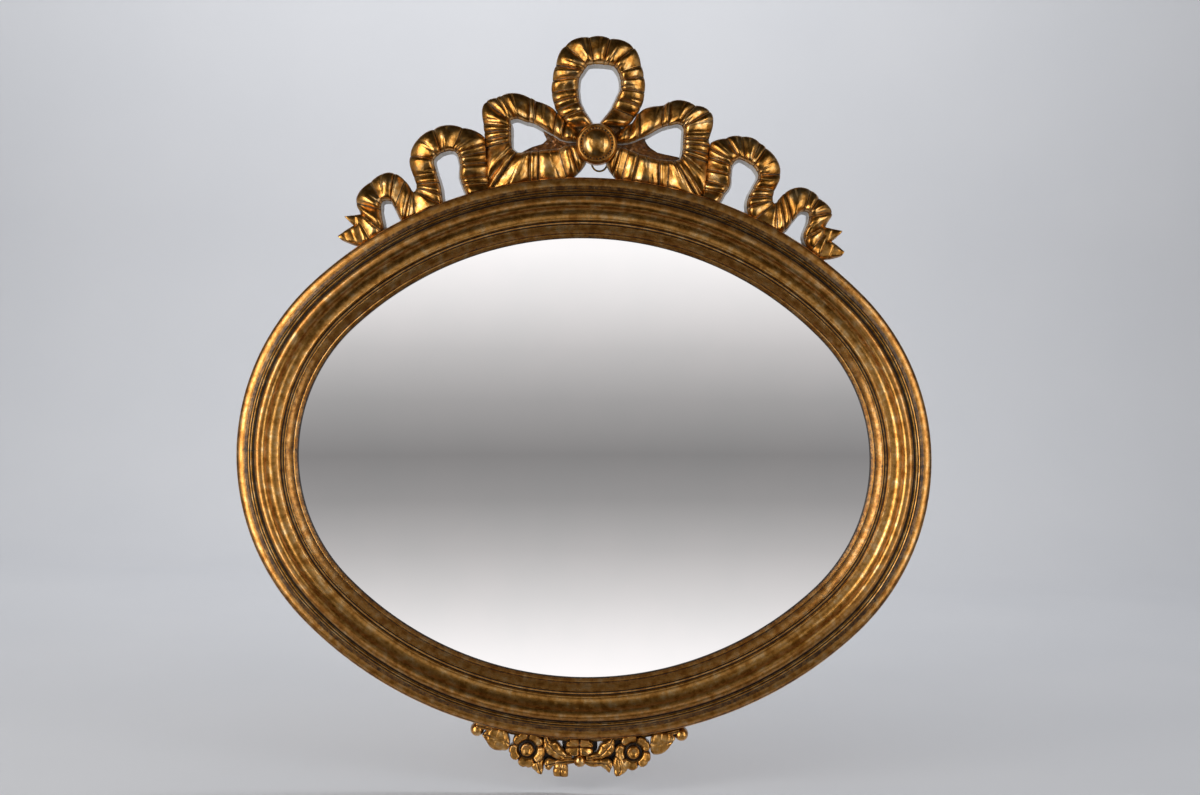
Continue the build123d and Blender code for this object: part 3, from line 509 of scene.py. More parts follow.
rightBowCreases = [
    ((24, 49.2), (24, 38.2)), ((41, 61.5), (38, 40.3)), ((48.5, 73.4), (49, 45.9)),
    ((74, 85.7), (73, 62)), ((80, 90.3), (79, 65.1)), ((107, 93.6), (91, 68.7)),
    ((122, 91.9), (95, 66.6)), ((123.5, 68.9), (95.5, 59.7)), ((121.8, 62.4), (95.3, 54.6)),
    ((123, 55.2), (95.2, 49.1)), ((122.6, 47.1), (95, 43.6)), ((123, 38.2), (94.5, 39)),
    ((117, 1), (92, 31.9)), ((114, -5), (88, 29.5)), ((80, -2.7), (80, 27.8)),
    ((71, -2.3), (70.5, 26.6)), ((42, -1.4), (49, 28.9)), ((31, -1.3), (38.5, 31.8)),
    ((22, 5.6), (30, 33.6)), ((15, 15.8), (21, 33)),
]
leftTailCreases = [
    ((-103, -7), (-127, -4.5)), ((-105, 6.5), (-134, 11.9)), ((-107, 13.6), (-136, 17.5)),
    ((-108, 27.9), (-137, 33.9)), ((-109, 40.1), (-138.5, 41.4)), ((-110, 48.4), (-140.5, 46.6)),
    ((-136.5, 73), (-144.5, 51.1)), ((-166.5, 82.1), (-157.5, 53.7)), ((-190, 64.8), (-165, 49.9)),
    ((-185.5, 40.5), (-162, 33.1)), ((-182.8, 31.7), (-158.8, 22.8)), ((-182.6, 27.6), (-156, 9.1)),
    ((-184.2, 25.3), (-155, -2.3)), ((-185.8, 25.3), (-183, -3.7)), ((-187.4, 27.5), (-194, -1.6)),
    ((-195, 41.5), (-204, 17.4)), ((-206, 54.6), (-209, 27.8)), ((-231, 61.2), (-218, 32.2)),
    ((-245, 48.1), (-219.5, 24.7)), ((-240.5, 32.8), (-217, 1.1)), ((-242.5, 29.2), (-229, -3.2)),
    ((-245, 26.6), (-236, -2.4)),
]
rightTailCreases = [
    ((107, -6.4), (131, -5.2)), ((114, 9.4), (139, 11.6)), ((118.5, 18.9), (143.5, 19.7)),
    ((120.5, 30.5), (145, 33.8)), ((121, 43.6), (146, 43.2)), ((121, 53.6), (148, 47.9)),
    ((140, 70.5), (153.5, 53.6)), ((157, 79.3), (159.5, 54.6)), ((176, 80.9), (166, 53.8)),
    ((182, 78.8), (169, 53.2)), ((197.5, 59.8), (175, 46.4)), ((191.5, 38.6), (169.5, 30.4)),
    ((190.2, 31.9), (165, 18.9)), ((190.6, 27.7), (163.8, 7.4)), ((192, 26.5), (170, -3.9)),
    ((193.6, 27.7), (196, -3)), ((197.5, 34.8), (204, 5.4)), ((202.5, 42.6), (211, 19)),
    ((230, 63.5), (223, 36.9)), ((239, 61.7), (228, 38.2)), ((252.5, 56.7), (229, 34.8)),
    ((246.5, 36.7), (224, 8.6)), ((247, 33), (231, 0.2)), ((248.5, 30.7), (240, -0.6)),
]
leftForks = [[((-236, 31), (-233, 10)), ((-246, 36.5), (-243.5, 21.5)), ((-257, 43.5), (-255.5, 40.2))],
             [((-240, 25), (-233, -6.5)), ((-251, 27), (-243, 2.5)), ((-263.5, 28), (-259.5, 20.5))]]
rightForks = [[((243, 35), (240, 12)), ((253, 40.5), (250.5, 24)), ((263.5, 47), (262.5, 43.5))],
              [((247, 26), (237, -5)), ((256, 27.5), (249.5, 6)), ((266.5, 28), (263.5, 20.5))]]


def smoothPath(points, place):
    # Cubic through the points, with each tangent the mean of its two runs weighed by length.
    run = np.linalg.norm(np.diff(points, axis=0), axis=1)[:, None] + 1e-6
    slope = np.diff(points, axis=0) / run
    inner = (slope[1:] * run[:-1] + slope[:-1] * run[1:]) / (run[1:] + run[:-1])
    tangent = np.vstack([slope[:1], inner, slope[-1:]])
    k = np.minimum(place.astype(int), len(points) - 2)
    f = (place - k)[:, None]
    h = run[k]
    return ((2 * f**3 - 3 * f**2 + 1) * points[k] + (f**3 - 2 * f**2 + f) * h * tangent[k]
            + (3 * f**2 - 2 * f**3) * points[k + 1] + (f**3 - f**2) * h * tangent[k + 1])


def shortCuts(cut, seed, lengths, k, f, s, chord):
    # Short gouge cuts in wide pleats: each is a line over t that thins and fades out from one edge.
    draw = np.random.default_rng(seed)
    deep, dark = np.zeros_like(chord), np.zeros_like(chord)
    for number, length in enumerate(lengths):
        for _ in range(int(length > cut["oneCut"]) + int(length > cut["twoCuts"])):
            middle, lean = draw.uniform(0.25, 0.75), draw.uniform(-0.25, 0.25)
            far, fromInner = draw.uniform(0.35, 0.85), draw.random() < 0.5
            fade = np.clip(1 - ((1 - s) if fromInner else s) / far, 0, 1)
            distance = np.abs(f[:, None] - middle - lean * (s - 0.5)) * chord
            width = cut["subMm"] * (0.5 + 1.6 * fade)
            line = np.exp(-(distance / width)**1.5) * fade**0.6 * (k == number)[:, None]
            deep, dark = deep + cut["subDrop"] * line, np.maximum(dark, line)
    return deep, dark


def strand(creases, cut, seed, side=1, gessoInside=True):
    # Pleated ribbon: s runs from the outer to the inner edge, t from crease to crease.
    # Depth is a flat arch over s, lowered towards each crease by a steep half ellipse over t.
    ends = onFrame(creases, side)
    outer, inner = ends[:, 0], ends[:, 1]
    outerRun = np.linalg.norm(np.diff(outer, axis=0), axis=1)
    innerRun = np.linalg.norm(np.diff(inner, axis=0), axis=1)
    steps = np.maximum(3, ((outerRun + innerRun) / 2 / cut["rowMm"]).astype(int))
    place = np.concatenate([k + np.arange(n) / n for k, n in enumerate(steps)] + [[len(steps)]])
    k = np.minimum(place.astype(int), len(steps) - 1)
    f = place - k
    outerLine, innerLine = smoothPath(outer, place), smoothPath(inner, place)
    bump = np.sin(np.pi * f)**cut["bulge"]
    away = outerLine - innerLine
    away /= np.linalg.norm(away, axis=1)[:, None]
    outerSwell = np.minimum(cut["swellMost"], cut["swell"] * outerRun[k]) * bump
    innerSwell = np.minimum(cut["innerMost"], cut["innerSwell"] * innerRun[k]) * bump
    outerLine = outerLine + away * outerSwell[:, None]
    innerLine = innerLine - away * innerSwell[:, None]
    s = (0.5 - 0.5 * np.cos(np.linspace(0, np.pi, cut["cols"])))[None]
    chord = outerRun[k][:, None] * (1 - s) + innerRun[k][:, None] * s
    near = np.minimum(f, 1 - f)[:, None] * chord
    skew = np.random.default_rng(seed + 50).choice(cut["skews"], len(steps))[k]
    middle = np.abs(2 * f**skew - 1)[:, None]
    drop = np.minimum(cut["creaseDrop"], cut["dropShare"] * chord)
    fall = drop * (0.75 * middle**1.7 + 0.25 * (1 - np.sqrt(np.clip(1 - middle**6, 0, 1))))
    arch = (1 - np.abs(2 * s - cut["archPeak"])**cut["archPower"]).clip(0, 1)**0.5
    extra, extraDark = shortCuts(cut, seed, outerRun, k, f, s, chord)
    run = np.cumsum(np.r_[0, np.linalg.norm(np.diff(outerLine, axis=0), axis=1)])[:, None]
    width = np.linalg.norm(outerLine - innerLine, axis=1)[:, None]
    uneven = cut["uneven"] * (waves(20, seed, run, s * width) + 0.25 * waves(6, seed + 1, run, s * width))
    vein = np.exp(-((s - 0.5) * width / 0.8)**2) * cut["vein"]
    height = crestBack + cut["side"] + cut["crown"] * arch - fall * (0.45 + 0.55 * arch)
    height = height - extra * arch + (uneven - vein) * arch
    height = height - cut["tilt"] * (1 - s)**cut["tiltPower"]
    plan = outerLine[:, None] * (1 - s[..., None]) + innerLine[:, None] * s[..., None]
    front = np.concatenate([plan, height[..., None]], -1)
    wall = np.linspace(0, 1, cut["footRows"] + 1)[None, :-1, None]
    blank = np.zeros((len(place), cut["footRows"], 1))
    leanOut = away[:, None] * cut["lean"]
    outerFoot = np.concatenate([outerLine[:, None] + 0 * wall, blank], -1)
    outerFoot[..., 2] = crestBack + (height[:, :1] - crestBack) * wall[..., 0]
    innerFoot = np.concatenate([innerLine[:, None] - leanOut * wall, blank], -1)
    innerFoot[..., 2] = height[:, -1:] - (height[:, -1:] - crestBack) * wall[..., 0]
    innerFoot = np.concatenate([innerFoot[:, 1:], innerFoot[:, -1:]], 1)
    innerFoot[:, -1, 2] = crestBack
    section = np.concatenate([outerFoot, front, innerFoot], 1)
    # Painted shade: the umber mask darkens the creases, the short gouge cuts, the vein and both edges of
    # the ribbon, and gives the side walls a fixed dark tone.
    rim = np.minimum(s, 1 - s) * width
    valley = cut["valleyMm"] * (1.7 - 1.2 * s)
    shade = np.exp(-near / valley) * np.clip(drop / 1.8, 0.3, 1)
    shade = np.maximum(shade, 0.95 * extraDark)
    shade = np.maximum(shade, 0.8 * np.minimum(vein, 1))
    shade = np.maximum(shade, 0.7 * np.exp(-rim / cut["rimMm"]))
    foot = np.full((len(place), cut["footRows"]), 0.85)
    umberAndShade = np.concatenate([foot, shade, foot * 0.6], 1)
    grey = np.zeros_like(umberAndShade)
    if gessoInside:
        grey[:, -4:] = 1.0
        grey[:, -5] = 0.75
        umberAndShade[:, -4:] = 0.25
    grey[:, :2] = 0.5
    return section[..., [0, 2, 1]], {"umberAndShade": umberAndShade, "gesso": grey}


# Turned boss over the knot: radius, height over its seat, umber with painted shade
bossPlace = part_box("knot_boss")
bossX = (bossPlace[0].x + bossPlace[1].x) / 2 / mm
bossZ = (bossPlace[0].z + bossPlace[1].z) / 2 / mm
bossSeat = crestBack + 14.0
boss = {
    "turns": 144, "seatRadius": 21.8,
    "profile": [(0.001, 17.0, .1), (4, 16.7, .1), (8, 15.6, .1), (11.5, 13.9, .12), (14, 11.9, .2),
                (15.2, 10.4, .5), (15.8, 9.3, .95), (16.6, 9.5, 1), (17.2, 11, .5), (17.9, 12.1, 0),
                (18.6, 12.2, 0), (19.5, 11.6, .05), (20.4, 10.4, .1), (21.1, 8.6, .15), (21.5, 6, .3),
                (21.5, 0, .9), (0.001, 0, .9)],
    "dashes": 30, "dashRadius": 16.4,
}


def keepOff(section, side=1, gap=0.12, joint=None, keep=0):
    # Points inside the frame's outer edge move out to it, and those past a glued joint to its line.
    flat = section.copy()
    limit = edgeHeight(np.clip(flat[..., 0], -300, 300)) + gap
    flat[..., 2] = np.maximum(flat[..., 2], limit) if side > 0 else np.minimum(flat[..., 2], -limit)
    if joint is not None:
        top, bottom = onFrame(joint)
        line = bottom[0] + (flat[..., 2] - bottom[1]) * (top[0] - bottom[0]) / (top[1] - bottom[1])
        near = flat[..., 2] < top[1] + 2
        flat[..., 0] = np.where(near & ((flat[..., 0] - line) * keep < 0), line, flat[..., 0])
    if side > 0:
        inBoss = np.hypot(flat[..., 0] - bossX, flat[..., 2] - bossZ) < boss["seatRadius"]
        flat[..., 1] = np.where(inBoss, np.minimum(flat[..., 1], bossSeat - 0.2), flat[..., 1])
    return flat


leftJoint, rightJoint = ((-112.4, 54.1), (-106.8, -0.4)), ((123.4, 57.4), (117.5, 0.6))


def carvedStrand(name, creases, seed, nodes, cut=ribbonCut, side=1, joint=None, keep=0, gessoInside=True):
    # A strand as a piece, kept off the frame and cut at its glued joint.
    section, masks = strand(creases, cut, seed, side, gessoInside)
    return surface(name, keepOff(section, side, 0.12, joint, keep), masks, nodes)


carvedStrand("bow_loop", loopCreases, 101, ["crest_bow"])
carvedStrand("bow_left", leftBowCreases, 102, [], joint=leftJoint, keep=1)
carvedStrand("bow_right", rightBowCreases, 103, [], joint=rightJoint, keep=-1)
carvedStrand("ribbon_left", leftTailCreases, 104, ["crest_left_ribbon"], joint=leftJoint, keep=-1)
carvedStrand("ribbon_right", rightTailCreases, 105, ["crest_right_ribbon"], joint=rightJoint, keep=1)
forkCut = dict(ribbonCut, tilt=0.0, side=9.0, crown=5.5, creaseDrop=1.0, swell=0.0, rowMm=0.8, lean=0.0,
               valleyMm=0.4)
for end, forks in (("left", leftForks), ("right", rightForks)):
    for number, fork in enumerate(forks):
        carvedStrand(f"ribbon_{end}_tip_{number + 1}", fork, 120 + number, [], forkCut, gessoInside=False)
print("ribbons done")


def pad(name, outline, centre, back, heights, tones, seed, side=1, turns=72, bumpMm=0.3, bole=0.0):
    # Raised form seen from the front: rings shrink from the outline to the centre.
    # Heights are pairs of share of the outline and height over the back.
    outline = np.asarray(outline, float)
    loop = np.vstack([outline, outline[:1]])
    loop = resample(loop, 0.5)[:-1]
    kernel = np.hanning(9)[1:-1] / np.hanning(9)[1:-1].sum()
    loop = np.stack([np.convolve(np.r_[c[-3:], c, c[:3]], kernel, "valid") for c in loop.T], -1)
    loop = resample(np.vstack([loop, loop[:1]]), 0.5)
    pick = np.linspace(0, len(loop) - 1, turns + 1)[:-1]
    rim = np.stack([np.interp(pick, np.arange(len(loop)), loop[:, i]) for i in range(2)], -1)
    shares, tall = np.array(heights, float).T
    fine = np.linspace(0, 1, 15)
    heightAt = np.interp(fine, shares, tall)
    centre = np.asarray(centre, float)
    plan = centre + (rim - centre)[:, None] * fine[None, :, None]
    uneven = bumpMm * waves(6, seed, plan[..., 0], plan[..., 1]) * (1 - fine**6)[None]
    front = np.concatenate([plan, (back + heightAt[None] + uneven)[..., None]], -1)
    foot = np.concatenate([rim, np.full((len(rim), 1), back)], -1)[:, None]
    under = np.tile(np.r_[centre, back], (len(rim), 1))[:, None]
    section = np.concatenate([front, foot, under], 1)[..., [0, 2, 1]]
    # Umber with painted shade over the ground from the given tones, and dark on its foot.
    umberAndShadeShare, umberAndShadeTone = np.array(tones, float).T
    umberAndShade = np.r_[np.interp(fine, umberAndShadeShare, umberAndShadeTone), 0.9, 0.9]
    masks = {"umberAndShade": umberAndShade[None], "bole": np.full((1, 1), bole)}
    return surface(name, keepOff(section, side), masks, loop=True)


# Grounds behind the knot and under the upper strands: middle and outline; their umber with painted shade
# deepens towards the outline
webs = {
    "left": ((-38, 38), [(-52, 51.8), (-47.5, 42.9), (-52, 38.8), (-63, 36.8), (-72, 33.3), (-77, 31.2),
                         (-70, 21.5), (-12, 25.7), (-8, 41.6), (-36, 55.1)]),
    "right": ((44, 36), [(53, 51.9), (56.4, 43.2), (60, 39.2), (69, 35), (84.5, 32.7), (92.5, 36),
                         (93, 26.1), (20, 20), (16, 41.8), (40, 55.4)]),
}
for end, (middle, outline) in webs.items():
    pad(f"bow_web_{end}", onFrame(outline), onFrame(middle), crestBack, [(0, 7.5), (0.8, 7), (1, 6)],
        [(0, .5), (1, .75)], 141, bumpMm=1.0, bole=0.7)
knotGround = [(-24, 51), (-12, 61), (-3, 57), (3, 51.5), (9, 56), (20, 62), (32, 53), (24, 40), (-14, 40)]
pad("knot_ground", onFrame(knotGround), onFrame((4, 46)), crestBack, [(0, 9), (0.8, 8.5), (1, 7)],
    [(0, .5), (1, .7)], 142, bumpMm=0.8, bole=0.5)


def turned(name, place, seat, profile, nodes, turns, dashes=0, uneven=0.12):
    # Profile of radius and height turned round an axis that faces the front.
    rows = np.array(profile, float)
    top = resample(rows[:, :2], 0.5)
    run = np.r_[0, np.cumsum(np.linalg.norm(np.diff(rows[:, :2], axis=0), axis=1))]
    tone = np.interp(np.linspace(0, run[-1], len(top)), run, rows[:, 2])
    top[1:-1] = soften(top, 1)[1:-1]
    angle = np.linspace(0, 2 * np.pi, turns, endpoint=False)[:, None]
    radius = top[None, :, 0]
    x = place[0] + radius * np.cos(angle)
    z = place[1] + radius * np.sin(angle)
    depth = seat + top[None, :, 1] + uneven * waves(7, 55, x, z) * (top[None, :, 1] > 1)
    umberAndShade = np.broadcast_to(tone[None], x.shape).copy()
    if dashes:
        dash = np.clip(np.sin(dashes * angle) * 3, 0, 1) * np.exp(-((radius - boss["dashRadius"]) / 0.7)**2)
        umberAndShade = umberAndShade * (1 - 0.85 * dash)
        depth = depth + 0.5 * dash
    section = np.stack([x, depth, z], -1)
    return surface(name, section, {"umberAndShade": umberAndShade}, nodes, loop=True)


turned("boss_turned", (bossX, bossZ), bossSeat, boss["profile"], ["knot_boss"], boss["turns"],
       boss["dashes"])
print("boss done")

# Garland below the frame: leaves as ribs, x and distance below the frame's edge
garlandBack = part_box("garland")[1].y / -mm
leafCut = dict(ribbonCut, tilt=0.0, side=9.0, crown=4.5, creaseDrop=0.7, dropShare=0.12, cols=34,
               swell=0.10, swellMost=1.4, lean=0.0, valleyMm=0.35, subDrop=0.8, subMm=0.4, vein=1.1)
leaves = {
    "leaf_left": [((-97.5, 9.7), (-99, 12)), ((-91, 3.2), (-94.5, 17.5)), ((-82, 0.2), (-89, 23.2)),
                  ((-75.5, 0), (-78, 22.9)), ((-71.5, 6.7), (-72, 20.8)), ((-70, 11.5), (-70, 16.5))],
    "leaf_right": [((78, 3.9), (76.8, 15.7)), ((82, 1.7), (79, 22.1)), ((90, 2.7), (87, 24.6)),
                   ((98, 5.3), (94, 22.3)), ((103, 10.6), (99, 16.5))],
    "scroll_left": [((-34, 2.4), (-30.5, 0.1)), ((-34.5, 7.9), (-26, 5.3)), ((-32.5, 15.3), (-20.5, 6)),
                    ((-26, 20.3), (-15.5, 11.3)), ((-16, 22.8), (-10, 16.4)), ((-5, 22.3), (-4.2, 19))],
    "scroll_right": [((38.8, 2.8), (35.5, 1)), ((39.5, 9.4), (31, 4.7)), ((37.5, 16.7), (25.2, 7.3)),
                     ((30.5, 20.6), (21.5, 14.6)), ((20, 22.2), (13.5, 17.7)), ((10.8, 22.6), (10, 18.6))],
    "under_left": [((-1, 22.5), (-1, 26.5)), ((-13, 23.2), (-12.5, 28.7)), ((-22, 24.9), (-23, 30.6)),
                   ((-31, 24.7), (-29, 36)), ((-33.5, 28.4), (-32, 34.2))],
    "under_right": [((8, 23.1), (8.5, 27.1)), ((18.5, 22.9), (17.5, 30.9)), ((27, 23.2), (25.5, 30.3)),
                    ((36, 24.6), (30.5, 33.6)), ((38.5, 28.8), (34.8, 37.8))],
    "tip_left": [((-47.5, 32.2), (-34, 24.9)), ((-42, 38.1), (-34, 33.9)), ((-37.8, 40.7), (-35, 40))],
    "tip_right": [((40, 21), (50, 25)), ((40, 34.4), (53.5, 36)), ((41.5, 41.1), (46, 41.3))],
    "ribbon_end": [((-20, 26), (-9, 28.6)), ((-23.2, 33.2), (-8.3, 35.1)), ((-22.8, 41), (-8.3, 41))],
    "stem_left": [((-106, 0.4), (-105, 6)), ((-95, 0.6), (-95.5, 5.7)), ((-88, 1), (-89, 6.2))],
    "stem_right": [((94, 2.3), (95, 6.6)), ((101, 2), (101.5, 6.7)), ((107, 2.1), (107.5, 6.2))],
}
pieces = []
for number, (name, ribs) in enumerate(leaves.items()):
    pieces.append(carvedStrand(name, ribs, 200 + number, [], leafCut, side=-1, gessoInside=False))


def alongFrame(inner, outer, startX, endX, back, thick, name, seed):
    # Low ground strip that follows the frame's lower edge.
    x = np.linspace(startX, endX, 200)[:, None]
    share = np.array([0, .15, .5, .85, 1])[None]
    fall = inner + (outer - inner) * share + 0 * x
    tall = back + thick * np.array([.8, 1, 1, .9, .6])[None] + 0.4 * waves(7, seed, x, fall)
    z = -(edgeHeight(x) + fall)
    front = np.stack([x + 0 * fall, tall, z], -1)
    footZ = -(edgeHeight(x) + np.array([[outer, inner]]))
    foot = np.stack([x[:, [0, 0]], np.full((len(x), 2), back), footZ], -1)
    # Umber with painted shade at an even strength.
    masks = {"umberAndShade": np.full((1, 1), 0.6)}
    return surface(name, np.concatenate([front, foot], 1), masks)


pieces.append(alongFrame(0.15, 5.5, -100, 105, garlandBack, 7.0, "ground", 231))
flower = {
    "places": ((-51.5, 16.7), (59.5, 17.8)), "starts": (14, 4), "radius": 19.4, "petals": 5, "turns": 200,
    "waist": 0.78, "cup": 3.4, "rimDrop": 3.0, "rimFrom": 0.86, "moatDeep": 3.0,
    "notch": (0.9, 0.09), "parting": (4.0, 1.2), "midrib": (0.4, 0.9),    # how deep and how wide
}


def flowerHead(name, place, petals, radius, start, seed, tall=11.0, squash=1.0, moat=8.6):
    # Radial grid: the outline swells once per petal, valleys with painted shade part them, the rim turns
    # down.
    fl = flower
    theta = np.linspace(0, 2 * np.pi, fl["turns"], endpoint=False)[:, None]
    lobe = np.abs(np.sin(petals / 2 * (theta - start)))
    middle = (np.pi / 2 - np.arcsin(lobe)) * 2 / petals
    outline = radius * (fl["waist"] + (1 - fl["waist"]) * lobe**0.6)
    outline = outline - fl["notch"][0] * np.exp(-(middle / fl["notch"][1])**2)
    outline = outline + 0.5 * waves(15, seed, radius * np.cos(theta), radius * np.sin(theta))
    share = np.linspace(0, 1, 34)[None]
    reach = outline * share
    valley = np.arcsin(lobe) * 2 / petals * reach
    rim = np.clip((share - fl["rimFrom"]) / (1 - fl["rimFrom"]), 0, 1)
    depth = tall + fl["cup"] * share**2 - fl["parting"][0] * np.exp(-(valley / fl["parting"][1])**2) * share
    depth = depth - fl["rimDrop"] * rim**2
    depth = depth - fl["midrib"][0] * np.exp(-(middle * reach / fl["midrib"][1])**2) * share
    depth = depth - fl["moatDeep"] * np.exp(-((reach - moat) / 1.6)**2)
    x = place[0] + reach * np.cos(theta)
    z = place[1] + reach * np.sin(theta) * squash
    front = np.stack([x, garlandBack + depth + 0.15 * waves(9, seed, x, z), z], -1)
    foot = front[:, -1:].copy()
    foot[..., 1] = garlandBack
    under = np.broadcast_to(np.array([place[0], garlandBack, place[1]]), foot.shape)
    # Umber with painted shade in the valleys, in the moat round the eye, at the very rim and on the foot.
    umberAndShade = np.maximum(0.95 * np.exp(-(valley / 0.9)**2), np.exp(-((reach - moat) / 1.5)**2))
    umberAndShade = np.maximum(umberAndShade, 0.7 * share**24)
    umberAndShade = np.concatenate([umberAndShade, np.full((len(theta), 2), 0.95)], 1)
    section = keepOff(np.concatenate([front, foot, under], 1), -1)
    return surface(name, section, {"umberAndShade": umberAndShade}, loop=True)


# Eye of a flower and a berry: radius, height, umber with painted shade
eyeProfile = [(0.001, 13.0, .2), (2.5, 13.1, .25), (3.8, 13.9, .1), (5, 15.0, 0), (6.2, 14.4, .2),
              (6.8, 12, .9), (7.4, 9.6, 1), (9.2, 9.4, 1), (9.6, 0, .9), (0.001, 0, .9)]
budProfile = [(0.001, 1.0, 0), (0.3, 0.98, 0), (0.6, 0.9, 0), (0.8, 0.76, .1), (0.95, 0.56, .3),
              (1, 0.4, .6), (1, 0, .9), (0.001, 0, .9)]
for number, (place, start) in enumerate(zip(onFrame(flower["places"], -1), flower["starts"])):
    turn = math.radians(start)
    pieces.append(flowerHead("flower", place, flower["petals"], flower["radius"], turn, 240 + number))
    pieces.append(turned("eye", place, garlandBack, eyeProfile, [], 40, uneven=0.2))


def bud(place, radius, height):
    # A berry: its profile scaled by the radius and the height, turned.
    profile = [(radius * r, height * h, tone) for r, h, tone in budProfile]
    return turned("bud", place, garlandBack, profile, [], 40)


rosette = {"place": (3.0, 9.6), "radius": 16.0, "squash": 0.62, "tall": 12.5}
# Grounds under the garland: dark all over with umber and painted shade.
grounds = [[(-46, 10), (-37, 3), (-30, 10), (-24, 18), (-6, 21), (-4, 26), (-22, 27), (-36, 30), (-44, 30)],
           [(50, 10), (43, 3), (36, 10), (29, 18), (12, 21), (10, 26), (27, 27), (42, 30), (50, 30)],
           [(-16, 1.2), (-14.5, 12.7), (-6, 20), (12, 20), (22, 13.1), (21.5, 1.5)]]
for number, outline in enumerate(grounds):
    pieces.append(pad("ground", onFrame(outline, -1), onFrame(outline, -1).mean(0), garlandBack,
                      [(0, 6), (0.7, 5.5), (1, 5)], [(0, 1), (1, 1)], 251 + number, side=-1))
pieces.append(flowerHead("rosette", onFrame(rosette["place"], -1), 4, rosette["radius"], 0.0, 255,
                         rosette["tall"], rosette["squash"], 0.0))
for place in onFrame([(-104.6, 8.3), (109.4, 9.1)], -1):
    pieces.append(bud(place, 7.2, 13.8))
pieces.append(bud(onFrame((3.8, 24.0), -1), 7.2, 17.0))
garlandPiece = joined("garland_carving", pieces)
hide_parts("garland")
print("garland done")

# Ring of round brass wire
ringLow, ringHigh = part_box("hanging_ring")
ring = {"wire": (ringHigh.y - ringLow.y) / 2 / mm, "turns": 96, "cols": 20}
ringOuter = (ringHigh.x - ringLow.x) / 2 / mm
ringX, ringZ = (ringLow.x + ringHigh.x) / 2 / mm, (ringLow.z + ringHigh.z) / 2 / mm
ringDepth = -(ringLow.y + ringHigh.y) / 2 / mm
round1 = np.linspace(0, 2 * np.pi, ring["turns"], endpoint=False)[:, None]
round2 = np.linspace(0, 2 * np.pi, ring["cols"], endpoint=False)[None]
reach = ringOuter - ring["wire"] + ring["wire"] * np.cos(round2)
wireDepth = ringDepth + ring["wire"] * np.sin(round2) + 0 * round1
ringSection = np.stack([ringX + reach * np.cos(round1), wireDepth, ringZ + reach * np.sin(round1)], -1)
surface("hanging_wire_ring", ringSection, {}, ["hanging_ring"], materials=(brass,), loop=True,
        body="ring")

# Finishes of the nodes themselves, also of those that a carved piece stands for
finishes = {
    "joint_tenons": beech, "crest_dowels": beech, "garland_dowels": beech, "mirror_glass": mirror,
    "glass_packers": cork, "back_panel": board, "panel_brads": steel, "hanger_plate": brass,
    "hanger_screws": steel, "hanging_ring": brass,
}
carvings = ("crest_bow", "crest_left_ribbon", "crest_right_ribbon", "knot_boss", "garland")
for name in (*finishes, *quarters, *carvings):
    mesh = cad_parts[name].data
    mesh.materials.clear()
    mesh.materials.append(finishes.get(name, gilt))
print("fittings done")

# Stage: pale paper sweep, world, lights and camera
stage = {
    "floorZ": -0.352, "front": -1.7, "wall": 2.7, "glossFront": -0.12, "bend": 0.9, "half": 4.5, "top": 3.2,
    "paper": ("#DADBDF", "#D3D5DA"), "mottleMm": 400.0,
}


def makePaper():
    # Matt photographic paper: an even pale tone with a very faint mottle.
    # Reflections look through it in front of the object, where the studio is dark.
    material, tree, shader, place, output = newMaterial("Paper_Sweep")
    mottle = grainOf(tree, place, stage["mottleMm"], 2.0, 0.5)
    light, dark = (linear(code) for code in stage["paper"])
    setInputs(tree, shader, {
        "Base Color": addNode(tree, "Mix", {0: mottle, 6: light, 7: dark}, 2, **colours),
        "Roughness": 0.9,
    })
    forward = addNode(tree, "SeparateXYZ", [place], "Y")
    front = addNode(tree, "Math", [forward, stage["glossFront"]], operation="LESS_THAN")
    glossy = addNode(tree, "LightPath", output="Is Glossy Ray")
    seenThrough = addNode(tree, "Math", [front, glossy], operation="MULTIPLY")
    clear = addNode(tree, "BsdfTransparent")
    both = addNode(tree, "MixShader", [seenThrough, shader.outputs[0], clear])
    tree.links.new(both, output.inputs["Surface"])
    return material


def makeSweep():
    # Floor, quarter round and wall: a profile of y and z drawn out along x.
    s = stage
    turn = np.linspace(0, np.pi / 2, 24)
    bendY = s["wall"] - s["bend"] + s["bend"] * np.sin(turn)
    bendZ = s["floorZ"] + s["bend"] - s["bend"] * np.cos(turn)
    profileY = np.r_[s["front"], bendY, s["wall"]]
    profileZ = np.r_[s["floorZ"], bendZ, s["top"]]
    x = np.linspace(-s["half"], s["half"], 9)
    grid = np.stack([np.broadcast_to(x[:, None], (9, len(profileY))), np.tile(profileY, (9, 1)),
                     np.tile(profileZ, (9, 1))], -1)
    index = np.arange(grid.shape[0] * grid.shape[1]).reshape(grid.shape[:2])
    quads = np.stack([index[:-1, :-1], index[1:, :-1], index[1:, 1:], index[:-1, 1:]], -1).reshape(-1, 4)
    mesh = bpy.data.meshes.new("sweep")
    mesh.from_pydata(grid.reshape(-1, 3).tolist(), [], quads.tolist())
    mesh.materials.append(makePaper())
    mesh.polygons.foreach_set("use_smooth", [True] * len(mesh.polygons))
    piece = bpy.data.objects.new("sweep", mesh)
    bpy.context.scene.collection.objects.link(piece)


makeSweep()

studio = {
    # what the glass reflects: sine of the angle over the lens and brightness
    "glassBands": [(-0.25, 1.15), (-0.187, 1.13), (-0.174, 1.05), (-0.14, 0.78), (-0.106, 0.54),
                   (-0.071, 0.35), (-0.040, 0.27), (-0.002, 0.41), (0.033, 0.61), (0.068, 0.88),
                   (0.102, 1.12), (0.15, 1.2)],
    "glassCentre": (-0.010, -0.043), "glassHalf": (0.200, 0.153), "glassFade": (1.06, 1.16),
    "glassWarmth": 0.985,
    # what gold reflects in front and, past this sine, above and below; light on matt surfaces
    "front": 0.26, "above": 0.012, "darkSine": 0.5, "fill": 0.26,
    "backdrop": "#CDD1D8",
}


